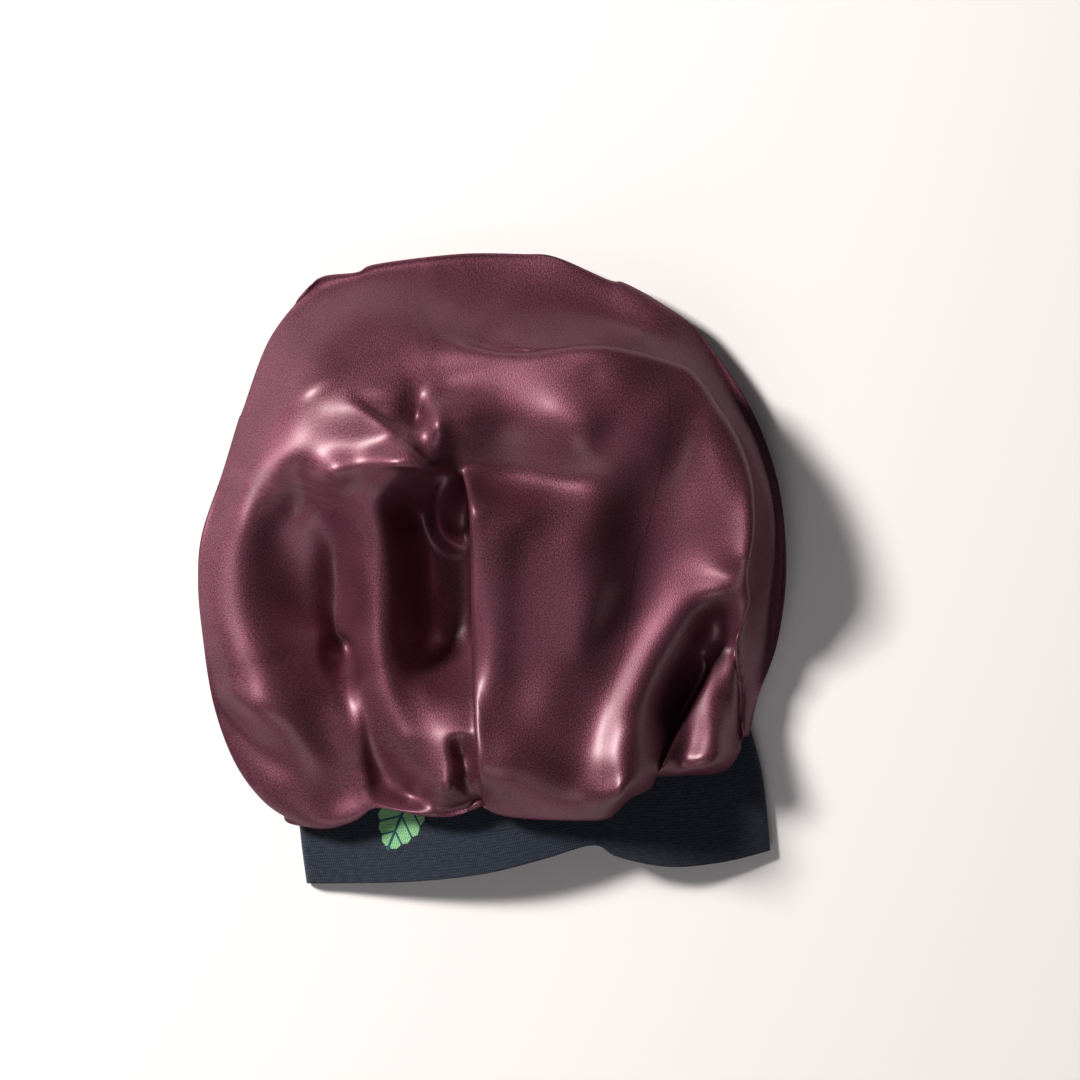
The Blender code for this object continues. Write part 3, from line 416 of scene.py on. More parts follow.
class FoldSpline:
    """A thin-plate spline through the points of named folds."""

    SPACING = 0.005  # between the points that carry a fold
    SOFTNESS = 8.0  # how far the cloth may ease away from them
    CHUNK = 8000  # places worked out at once

    def __init__(self, folds: dict[str, Rows]) -> None:
        """Solves the spline in millimetres.

        Args:
            folds: rows of x, y and height along each fold.
        """
        knots = np.concatenate([self.spaced(rows) for rows in folds.values()]) / MM
        self.centres = knots[:, :2]
        count = len(knots)
        system = np.zeros((count + 3, count + 3))
        system[:count, :count] = self.bending(self.centres) + self.SOFTNESS * np.eye(count)
        system[:count, count] = 1.0
        system[:count, count + 1:] = self.centres
        system[count:, :count] = system[:count, count:].T
        self.weights = np.linalg.solve(system, np.append(knots[:, 2], np.zeros(3)))

    def spaced(self, rows: Rows) -> np.ndarray:
        """Sets a fold's rows at an even spacing along its smooth curve.

        Args:
            rows: x, y and height along the fold.

        Returns:
            More rows of x, y and height.
        """
        path = smooth_path(rows)
        run = run_lengths(path)
        places = np.linspace(0.0, run[-1], max(len(rows), int(run[-1] / self.SPACING) + 1))
        return np.column_stack([np.interp(places, run, column) for column in path.T])

    def bending(self, places: np.ndarray) -> np.ndarray:
        """The spline's kernel between places and its centres."""
        squared = ((places[:, None, :] - self.centres[None, :, :]) ** 2).sum(axis=2)
        return 0.5 * squared * np.log(squared + TINY)

    def heights(self, places: np.ndarray) -> np.ndarray:
        """Works out the spline's heights.

        Args:
            places: rows of x and y in metres.

        Returns:
            The height over each in metres.
        """
        found = []
        for start in range(0, len(places), self.CHUNK):
            part = places[start:start + self.CHUNK] / MM
            flat = self.weights[-3] + part @ self.weights[-2:]
            found.append(self.bending(part) @ self.weights[:-3] + flat)
        return np.concatenate(found) * MM


# ---- colours and nodes ---------------------------------------------------------------------------
def linear(colour: str) -> tuple[float, float, float, float]:
    """Turns an sRGB colour to a linear one.

    Args:
        colour: the colour in hex, such as #a0b0c0.

    Returns:
        Linear red, green, blue and alpha.
    """
    parts = [int(colour[i:i + 2], 16) / 255 for i in (1, 3, 5)]
    red, green, blue = (p / 12.92 if p <= 0.04045 else ((p + 0.055) / 1.055) ** 2.4 for p in parts)
    return red, green, blue, 1.0


def add_node(tree: bpy.types.NodeTree, kind: str, inputs: dict[str | int, object] | None = None,
             **settings: object) -> bpy.types.Node:
    """Adds a node with its settings, values and links.

    Args:
        tree: the material's node tree.
        kind: the node's type name.
        inputs: a value, or a socket to link, for each input's name or number.
        settings: the node's own properties.

    Returns:
        The new node.
    """
    node = tree.nodes.new(kind)
    for name, value in settings.items():
        setattr(node, name, value)
    for key, value in (inputs or {}).items():
        if isinstance(value, bpy.types.NodeSocket):
            tree.links.new(value, node.inputs[key])
        else:
            node.inputs[key].default_value = value
    return node


def new_material(name: str) -> tuple[bpy.types.Material, bpy.types.NodeTree]:
    """A material with an empty node tree.

    Args:
        name: the material's name.

    Returns:
        The material and its tree.
    """
    material = bpy.data.materials.new(name)
    material.use_nodes = True
    material.node_tree.nodes.clear()
    return material, material.node_tree


# ---- finishes ------------------------------------------------------------------------------------
@dataclass(frozen=True)
class SatinFinish:
    """Polyester satin: long warp floats give a soft, streaky sheen over a deep plum."""

    name: str = "woven_polyester_satin"
    floats: str = "#7c475b"
    shade: str = "#47202b"  # the dye between the floats, and painted shade along the seam's groove
    glint: str = "#8c5a6c"  # of the sheen seen edge on
    # Polyester is no metal, but dyed satin tints most of what it mirrors, as a metal does. This and
    # the roughness are matched to the object.
    metallic: float = 0.65
    roughness: float = 0.50
    roughness_spread: float = 0.07
    ior: float = 1.5
    anisotropy: float = 0.2
    # Real satin has no coat. A faint one, matched to the object, whitens the brightest sheen, as the
    # untinted surface gloss of the fibres does. At so high an index a small weight is enough, which
    # also limits what the coat adds at the rims.
    coat: float = 0.20
    coat_roughness: float = 0.36
    coat_ior: float = 2.2
    # real satin has about 30 threads a centimetre, which is too fine to show, so the weave is drawn
    # about twice as coarse
    thread: float = 0.75 * MM
    float_length: float = 1.7 * MM
    float_slant: float = 38.0  # degrees
    weave_depth: float = 0.25 * MM
    weave_strength: float = 0.6
    grain: float = 0.8 * MM
    # the dye varies with the grain, which counts for more, and over patches
    grain_weight: float = 2.0
    patches_per_metre: float = 14.0
    dye_range: tuple[float, float] = (1.2, 1.8)
    # the side seam: a narrow groove with small puckers beside it, and painted shade in the groove
    groove: float = 0.7 * MM
    groove_depth: float = 2.5  # puckers deep
    pucker_pitch: float = 3.4 * MM
    pucker_reach: float = 3.5 * MM
    seam_strength: float = 0.08
    # painted shade: how far the groove's colour is darkened towards the dark tone
    painted_seam_shade: float = 0.6

    def build(self) -> bpy.types.Material:
        """Makes the material, on the UV maps cloth, in metres, and seam, off and along the seam.

        Returns:
            The material.
        """
        material, tree = new_material(self.name)
        cloth = add_node(tree, "ShaderNodeUVMap", uv_map="cloth").outputs["UV"]
        seam = add_node(tree, "ShaderNodeUVMap", uv_map="seam").outputs["UV"]
        # short slanted floats of the weave, as the sheen shows them
        turned = add_node(tree, "ShaderNodeMapping", {
            "Vector": cloth, "Rotation": (0.0, 0.0, math.radians(self.float_slant)),
            "Scale": (1.0 / self.thread, 1.0 / self.float_length, 1.0)}).outputs["Vector"]
        weave = add_node(tree, "ShaderNodeTexNoise", {
            "Vector": turned, "Scale": 1.0, "Detail": 1.0, "Roughness": 0.5}).outputs["Fac"]
        grain = add_node(tree, "ShaderNodeTexNoise", {
            "Vector": cloth, "Scale": 1.0 / self.grain, "Detail": 2.0, "Roughness": 0.7}).outputs["Fac"]
        relief = add_node(tree, "ShaderNodeMath", {0: grain, 1: weave}, operation="ADD").outputs[0]
        # the puckers die out beside the seam's groove
        apart = add_node(tree, "ShaderNodeSeparateXYZ", {"Vector": seam})
        off = add_node(tree, "ShaderNodeMath", {0: apart.outputs["X"]}, operation="ABSOLUTE").outputs[0]
        near = add_node(tree, "ShaderNodeMapRange", {
            "Value": off, "From Min": 0.0, "From Max": self.pucker_reach, "To Min": 1.0, "To Max": 0.0},
            interpolation_type="SMOOTHSTEP").outputs["Result"]
        dip = add_node(tree, "ShaderNodeMapRange", {
            "Value": off, "From Min": 0.0, "From Max": self.groove, "To Min": 1.0, "To Max": 0.0},
            interpolation_type="SMOOTHSTEP").outputs["Result"]
        turn = add_node(tree, "ShaderNodeMath", {
            0: apart.outputs["Y"], 1: 2 * math.pi / self.pucker_pitch}, operation="MULTIPLY").outputs[0]
        ripple = add_node(tree, "ShaderNodeMath", {0: turn}, operation="SINE").outputs[0]
        pucker = add_node(tree, "ShaderNodeMath", {0: ripple, 1: near}, operation="MULTIPLY").outputs[0]
        sewn = add_node(tree, "ShaderNodeMath", {
            0: dip, 1: -self.groove_depth, 2: pucker}, operation="MULTIPLY_ADD").outputs[0]
        fine = add_node(tree, "ShaderNodeBump", {
            "Height": relief, "Strength": self.weave_strength,
            "Distance": self.weave_depth}).outputs["Normal"]
        normal = add_node(tree, "ShaderNodeBump", {
            "Height": sewn, "Strength": self.seam_strength, "Distance": self.weave_depth,
            "Normal": fine}).outputs["Normal"]
        # thread by thread the dye and the shine vary a little
        patches = add_node(tree, "ShaderNodeTexNoise", {
            "Vector": cloth, "Scale": self.patches_per_metre, "Detail": 3.0,
            "Roughness": 0.5}).outputs["Fac"]
        mixed = add_node(tree, "ShaderNodeMath", {
            0: grain, 1: self.grain_weight, 2: patches}, operation="MULTIPLY_ADD").outputs[0]
        share = add_node(tree, "ShaderNodeMapRange", {
            "Value": mixed, "From Min": self.dye_range[0],
            "From Max": self.dye_range[1]}).outputs["Result"]
        colour = add_node(tree, "ShaderNodeMix", {
            0: share, 6: linear(self.shade), 7: linear(self.floats)}, data_type="RGBA").outputs[2]
        # painted shade: the seam's groove is coloured darker, towards the dark tone
        shadow = add_node(tree, "ShaderNodeMath", {
            0: dip, 1: self.painted_seam_shade}, operation="MULTIPLY").outputs[0]
        colour = add_node(tree, "ShaderNodeMix", {
            0: shadow, 6: colour, 7: linear(self.shade)}, data_type="RGBA").outputs[2]
        rough = add_node(tree, "ShaderNodeMapRange", {
            "Value": grain, "From Min": NOISE_LOW, "From Max": NOISE_HIGH,
            "To Min": self.roughness - self.roughness_spread,
            "To Max": self.roughness + self.roughness_spread}).outputs["Result"]
        tangent = add_node(
            tree, "ShaderNodeTangent", direction_type="UV_MAP", uv_map="cloth").outputs["Tangent"]
        shader = add_node(tree, "ShaderNodeBsdfPrincipled", {
            "Base Color": colour, "Metallic": self.metallic, "Roughness": rough, "IOR": self.ior,
            "Specular Tint": linear(self.glint), "Anisotropic": self.anisotropy, "Tangent": tangent,
            "Normal": normal, "Coat Weight": self.coat, "Coat Roughness": self.coat_roughness,
            "Coat IOR": self.coat_ior})
        add_node(tree, "ShaderNodeOutputMaterial", {"Surface": shader.outputs["BSDF"]})
        return material


@dataclass(frozen=True)
class JerseyFinish:
    """Cotton jersey, knitted and dyed charcoal: matt, with fine streaks along its courses."""

    name: str = "knitted_cotton_jersey"
    yarn: str = "#303a4b"
    # painted shade: the near black coloured into the knit's low places, between the stitches
    between: str = "#07090f"
    leaf_light: str = "#86c08a"
    leaf_vein: str = "#20565c"
    fuzz_tint: str = "#9aa4b2"
    roughness: float = 0.85
    ior: float = 1.5
    gloss: float = 0.35
    fuzz: float = 0.25
    fuzz_roughness: float = 0.5
    # real jersey has about 14 wales a centimetre, which is too fine to show, so the knit is drawn
    # nearly three times as coarse
    wale: float = 2.0 * MM
    course: float = 1.5 * MM
    course_weight: float = 0.45  # against the wales
    knit_depth: float = 0.35 * MM
    knit_strength: float = 0.6
    # thicker and thinner places in the yarn, which lie along the courses
    slub_length: float = 4.0 * MM
    slub_width: float = 1.3 * MM
    slub_weight: float = 3.0  # against the wales
    yarn_range: tuple[float, float] = (1.1, 3.2)  # relief from between the stitches, coloured with painted shade, to the yarn's top
    leaf_centre: tuple[float, float] = (0.190, -0.003)
    leaf_length: float = 0.040
    leaf_width: float = 0.021
    leaf_turn: float = 58.0  # degrees
    leaf_edge: float = 0.012  # softness of the print's edge, in leaf lengths
    tooth: float = 0.035  # of the leaf's rim, in leaf lengths
    ribs: float = 9.0  # on both sides together in a leaf's length, one to each tooth
    rib_slant: float = 0.9  # how far a rib leans to the tip for its way out from the middle
    rib_widths: tuple[float, float] = (0.12, 0.20)  # full and faded out, in rib spacings
    midrib_widths: tuple[float, float] = (0.012, 0.022)  # half widths, in leaf lengths
    # ink sits on the raised yarn and thins out between the stitches
    ink_range: tuple[float, float] = (0.0, 0.5)
    ink_least: float = 0.75

    def build(self) -> bpy.types.Material:
        """Makes the material, on the UV map cloth, in metres of cloth.

        Returns:
            The material.
        """
        material, tree = new_material(self.name)
        cloth = add_node(tree, "ShaderNodeUVMap", uv_map="cloth").outputs["UV"]
        apart = add_node(tree, "ShaderNodeSeparateXYZ", {"Vector": cloth})
        # each wale is a column of V-shaped stitches
        wales = add_node(tree, "ShaderNodeMath", {
            0: apart.outputs["X"], 1: 1.0 / self.wale}, operation="MULTIPLY").outputs[0]
        column = add_node(tree, "ShaderNodeMath", {0: wales, 1: 0.5}, operation="PINGPONG").outputs[0]
        courses = add_node(tree, "ShaderNodeMath", {
            0: apart.outputs["Y"], 1: 1.0 / self.course, 2: column}, operation="MULTIPLY_ADD").outputs[0]
        turn = add_node(tree, "ShaderNodeMath", {
            0: courses, 1: 2 * math.pi}, operation="MULTIPLY").outputs[0]
        rows = add_node(tree, "ShaderNodeMath", {0: turn}, operation="SINE").outputs[0]
        swing = add_node(tree, "ShaderNodeMath", {
            0: column, 1: 2 * math.pi}, operation="MULTIPLY").outputs[0]
        legs = add_node(tree, "ShaderNodeMath", {0: swing}, operation="SINE").outputs[0]
        knit = add_node(tree, "ShaderNodeMath", {
            0: rows, 1: self.course_weight, 2: legs}, operation="MULTIPLY_ADD").outputs[0]
        drawn = add_node(tree, "ShaderNodeMapping", {
            "Vector": cloth,
            "Scale": (1.0 / self.slub_length, 1.0 / self.slub_width, 1.0)}).outputs["Vector"]
        slubs = add_node(tree, "ShaderNodeTexNoise", {
            "Vector": drawn, "Scale": 1.0, "Detail": 2.0, "Roughness": 0.7}).outputs["Fac"]
        relief = add_node(tree, "ShaderNodeMath", {
            0: slubs, 1: self.slub_weight, 2: knit}, operation="MULTIPLY_ADD").outputs[0]
        normal = add_node(tree, "ShaderNodeBump", {
            "Height": relief, "Strength": self.knit_strength,
            "Distance": self.knit_depth}).outputs["Normal"]
        # painted shade: the lower the knit's relief, the nearer its colour comes to the near black
        # between the stitches
        share = add_node(tree, "ShaderNodeMapRange", {
            "Value": relief, "From Min": self.yarn_range[0],
            "From Max": self.yarn_range[1]}).outputs["Result"]
        colour = add_node(tree, "ShaderNodeMix", {
            0: share, 6: linear(self.between), 7: linear(self.yarn)}, data_type="RGBA").outputs[2]
        mask, vein = self.leaf(tree, cloth)
        printed = add_node(tree, "ShaderNodeMix", {
            0: vein, 6: linear(self.leaf_light), 7: linear(self.leaf_vein)}, data_type="RGBA").outputs[2]
        worn = add_node(tree, "ShaderNodeMapRange", {
            "Value": share, "From Min": self.ink_range[0], "From Max": self.ink_range[1],
            "To Min": self.ink_least, "To Max": 1.0}).outputs["Result"]
        inked = add_node(tree, "ShaderNodeMath", {0: mask, 1: worn}, operation="MULTIPLY").outputs[0]
        colour = add_node(tree, "ShaderNodeMix", {
            0: inked, 6: colour, 7: printed}, data_type="RGBA").outputs[2]
        shader = add_node(tree, "ShaderNodeBsdfPrincipled", {
            "Base Color": colour, "Roughness": self.roughness, "IOR": self.ior,
            "Specular IOR Level": self.gloss, "Normal": normal, "Sheen Weight": self.fuzz,
            "Sheen Roughness": self.fuzz_roughness, "Sheen Tint": linear(self.fuzz_tint)})
        add_node(tree, "ShaderNodeOutputMaterial", {"Surface": shader.outputs["BSDF"]})
        return material

    def leaf(self, tree: bpy.types.NodeTree,
             cloth: bpy.types.NodeSocket) -> tuple[bpy.types.NodeSocket, bpy.types.NodeSocket]:
        """A plain pointed leaf printed on the cloth.

        Args:
            tree: the material's node tree.
            cloth: the cloth's place in metres.

        Returns:
            The sockets of the leaf's mask and of its veins.
        """
        own = add_node(tree, "ShaderNodeMapping", {
            "Vector": cloth, "Location": (*self.leaf_centre, 0.0),
            "Rotation": (0.0, 0.0, math.radians(self.leaf_turn)),
            "Scale": (self.leaf_length, self.leaf_length, 1.0)}, vector_type="TEXTURE").outputs["Vector"]
        apart = add_node(tree, "ShaderNodeSeparateXYZ", {"Vector": own})
        along, across = apart.outputs["X"], apart.outputs["Y"]
        out = add_node(tree, "ShaderNodeMath", {0: across}, operation="ABSOLUTE").outputs[0]
        # half a leaf's width falls off to both tips
        fall = add_node(tree, "ShaderNodeMath", {0: along, 1: along}, operation="MULTIPLY").outputs[0]
        ratio = self.leaf_width / self.leaf_length
        edge = add_node(tree, "ShaderNodeMath", {
            0: fall, 1: -2.0 * ratio, 2: 0.5 * ratio}, operation="MULTIPLY_ADD").outputs[0]
        slant = add_node(tree, "ShaderNodeMath", {
            0: out, 1: -self.rib_slant, 2: along}, operation="MULTIPLY_ADD").outputs[0]
        scaled = add_node(tree, "ShaderNodeMath", {
            0: slant, 1: self.ribs}, operation="MULTIPLY").outputs[0]
        teeth = add_node(tree, "ShaderNodeMath", {0: scaled, 1: 1.0}, operation="PINGPONG").outputs[0]
        toothed = add_node(tree, "ShaderNodeMath", {
            0: teeth, 1: self.tooth, 2: edge}, operation="MULTIPLY_ADD").outputs[0]
        inside = add_node(tree, "ShaderNodeMath", {0: toothed, 1: out}, operation="SUBTRACT").outputs[0]
        mask = add_node(tree, "ShaderNodeMapRange", {
            "Value": inside, "From Min": 0.0, "From Max": self.leaf_edge}).outputs["Result"]
        ribs = add_node(tree, "ShaderNodeMapRange", {
            "Value": teeth, "From Min": self.rib_widths[0], "From Max": self.rib_widths[1],
            "To Min": 1.0, "To Max": 0.0}).outputs["Result"]
        middle = add_node(tree, "ShaderNodeMapRange", {
            "Value": out, "From Min": self.midrib_widths[0], "From Max": self.midrib_widths[1],
            "To Min": 1.0, "To Max": 0.0}).outputs["Result"]
        vein = add_node(tree, "ShaderNodeMath", {0: ribs, 1: middle}, operation="MAXIMUM").outputs[0]
        return mask, vein


@dataclass(frozen=True)
class FloorFinish:
    """Matt white paper: pale and even under the bonnet."""

    name: str = "matt_white_paper"
    colour: str = "#f4f4f4"
    roughness: float = 0.9
    gloss: float = 0.1
    tooth: float = 2.5 * MM
    tooth_depth: float = 0.1 * MM
    tooth_strength: float = 0.1

    def build(self) -> bpy.types.Material:
        """Makes the material, with a faint tooth.

        Returns:
            The material.
        """
        material, tree = new_material(self.name)
        place = add_node(tree, "ShaderNodeTexCoord").outputs["Object"]
        tooth = add_node(tree, "ShaderNodeTexNoise", {
            "Vector": place, "Scale": 1.0 / self.tooth}).outputs["Fac"]
        normal = add_node(tree, "ShaderNodeBump", {
            "Height": tooth, "Strength": self.tooth_strength,
            "Distance": self.tooth_depth}).outputs["Normal"]
        shader = add_node(tree, "ShaderNodeBsdfPrincipled", {
            "Base Color": linear(self.colour), "Roughness": self.roughness,
            "Specular IOR Level": self.gloss, "Normal": normal})
        add_node(tree, "ShaderNodeOutputMaterial", {"Surface": shader.outputs["BSDF"]})
        return material


# ---- mesh helpers --------------------------------------------------------------------------------
def new_grid(name: str, across: int, along: int) -> tuple[bpy.types.Object, np.ndarray, np.ndarray]:
    """Adds a grid of squares to be shaped.

    Args:
        name: the piece's name.
        across: squares along X.
        along: squares along Y.

    Returns:
        The object, and each vertex's column and row in the grid.
    """
    bpy.ops.object.select_all(action="DESELECT")
    bpy.ops.mesh.primitive_grid_add(x_subdivisions=across, y_subdivisions=along, size=2.0)
    piece = bpy.context.object
    piece.name = piece.data.name = name
    places = np.empty(len(piece.data.vertices) * 3, np.float32)
    piece.data.vertices.foreach_get("co", places)
    places = places.reshape(-1, 3)
    column = np.rint((places[:, 0] + 1.0) * 0.5 * across).astype(int)
    row = np.rint((places[:, 1] + 1.0) * 0.5 * along).astype(int)
    return piece, column, row


def set_places(piece: bpy.types.Object, places: np.ndarray) -> None:
    """Moves a mesh's vertices to new places."""
    piece.data.vertices.foreach_set("co", places.astype(np.float32).ravel())
    piece.data.update()


def set_uv(piece: bpy.types.Object, name: str, values: np.ndarray) -> None:
    """Writes a UV map from one pair of numbers a vertex.

    Args:
        piece: the mesh object.
        name: the UV map's name.
        values: a row of u and v for each vertex.
    """
    layer = piece.data.uv_layers.get(name) or piece.data.uv_layers.new(name=name)
    corners = np.empty(len(piece.data.loops), np.int32)
    piece.data.loops.foreach_get("vertex_index", corners)
    layer.data.foreach_set("uv", values[corners].astype(np.float32).ravel())


def finish_cloth(piece: bpy.types.Object, wall: float, material: bpy.types.Material) -> None:
    """Gives a cloth its wall, grown inwards, its smooth shading and its material.

    Args:
        piece: the cloth's outer surface.
        wall: the cloth's thickness.
        material: its finish.
    """
    piece.data.materials.clear()
    piece.data.materials.append(material)
    solidify = piece.modifiers.new("wall", "SOLIDIFY")
    solidify.thickness = wall
    solidify.offset = -1.0
    solidify.use_even_offset = False
    bpy.context.view_layer.objects.active = piece
    piece.select_set(True)
    bpy.ops.object.modifier_apply(modifier=solidify.name)
    bpy.ops.object.shade_smooth()


def cloth_lengths(places: np.ndarray, rounds: int = 30) -> tuple[np.ndarray, np.ndarray]:
    """Lengths of cloth from the middle of a grid to each of its points.

    Args:
        places: (columns, rows, 3) places of the grid's points.
        rounds: times that neighbours share their lengths, so the weave doesn't shear at a fold.

    Returns:
        The lengths along the columns' way and along the rows' way.
    """
    found = []
    for axis in (0, 1):
        steps = np.linalg.norm(np.diff(places, axis=axis), axis=2)
        other = 1 - axis
        for _ in range(rounds):
            padded = np.pad(steps, [(1, 1) if i == other else (0, 0) for i in (0, 1)], mode="edge")
            lower = np.take(padded, range(0, steps.shape[other]), axis=other)
            upper = np.take(padded, range(2, steps.shape[other] + 2), axis=other)
            steps = 0.5 * steps + 0.25 * (lower + upper)
        total = np.cumsum(steps, axis=axis)
        total = np.pad(total, [(1, 0) if i == axis else (0, 0) for i in (0, 1)])
        middle = np.take(total, [total.shape[axis] // 2], axis=axis)
        found.append(total - middle)
    return found[0], found[1]


# ---- the band ------------------------------------------------------------------------------------
@dataclass
class JerseyBand:
    """The wide doubled band: a tube of knit that lies nearly flat, open from the hem to the crown."""

    node: str = "jersey_band"
    wall: float = 0.0028
    fold_radius: float = 0.0034
    arch_at_seam: float = 0.030
    arch_at_hem: float = 0.026
    arch_power: float = 1.3  # how late the arch rises beside the folded sides
    seam_left: tuple[float, float] = (-0.0975, -0.1010)
    seam_right: tuple[float, float] = (0.1310, -0.0825)
    hem: Rows = (
        (-0.0943, -0.1595), (-0.046, -0.1583), (-0.006, -0.154), (0.025, -0.1464),
        (0.0508, -0.1392), (0.063, -0.1452), (0.089, -0.1505), (0.1174, -0.1483), (0.1408, -0.1427),
    )
    left_fold: Rows = ((-0.0975, -0.101), (-0.098, -0.1285), (-0.0943, -0.1595))
    right_fold: Rows = ((0.131, -0.0825), (0.137, -0.1063), (0.1408, -0.1427))
    steps_around: int = 320
    steps_along: int = 60
    flat: tuple[float, float] = (0.478, 0.062)

    def rise(self, across: np.ndarray) -> np.ndarray:
        """Shape of the band's arch: 0 at its folded sides, 1 in the middle."""
        return np.sin(np.pi * across) ** self.arch_power

    def section(self, share: float, around: np.ndarray) -> np.ndarray:
        """Points round the band's outer surface.

        Args:
            share: place along the band's width, 0 at the seam and 1 at the hem.
            around: 0 to 1 for once round, along the floor from left to right and back over the arch.

        Returns:
            Rows of x, y and z.
        """
        hem = smooth_path(self.hem)
        left = at_share(smooth_path(self.left_fold), share)
        right = at_share(smooth_path(self.right_fold), share)
        across = 0.5 - 0.5 * np.cos(2.0 * np.pi * around)
        hem_wave = at_share(hem, across) - (hem[0] + across[:, None] * (hem[-1] - hem[0]))
        plan = left + across[:, None] * (right - left) + share * hem_wave
        from_fold = np.linalg.norm(right - left) * np.minimum(across, 1.0 - across)
        bulge = np.sqrt(1.0 - (1.0 - np.minimum(from_fold / self.fold_radius, 1.0)) ** 2)
        arch = self.arch_at_seam + share * (self.arch_at_hem - self.arch_at_seam)
        below = self.fold_radius * (1.0 - bulge)
        above = self.fold_radius * (1.0 + bulge) + (arch - 2 * self.fold_radius) * self.rise(across)
        return np.column_stack([plan, np.where(around <= 0.5, below, above)])

    def top(self, places: np.ndarray) -> np.ndarray:
        """Height of the band's upper layer near the seam.

        Args:
            places: rows of x and y.

        Returns:
            The height over each.
        """
        left, right = np.array(self.seam_left), np.array(self.seam_right)
        chord = right - left
        across = np.clip((places - left) @ chord / (chord @ chord), 0.0, 1.0)
        return 2 * self.fold_radius + (self.arch_at_seam - 2 * self.fold_radius) * self.rise(across)

    def build(self, finish: JerseyFinish) -> bpy.types.Object:
        """Rolls a grid of cloth into the band.

        Args:
            finish: the knit's finish.

        Returns:
            The band's piece.
        """
        piece, column, row = new_grid("band_jersey", self.steps_around, self.steps_along)
        around = np.arange(self.steps_around + 1) / self.steps_around
        shares = np.arange(self.steps_along + 1) / self.steps_along
        tube = np.stack([self.section(share, around) for share in shares], axis=1)
        set_places(piece, tube[column, row])
        girth, width = cloth_lengths(tube)
        piece.data.uv_layers[0].name = "cloth"
        set_uv(piece, "cloth", np.column_stack([girth[column, row], width[column, row]]))
        bpy.ops.object.mode_set(mode="EDIT")
        bpy.ops.mesh.select_all(action="SELECT")
        bpy.ops.mesh.remove_doubles(threshold=1e-6)
        bpy.ops.mesh.normals_make_consistent(inside=False)
        bpy.ops.object.mode_set(mode="OBJECT")
        finish_cloth(piece, self.wall, finish.build())
        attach(piece, BODY)
        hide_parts(self.node)
        return piece


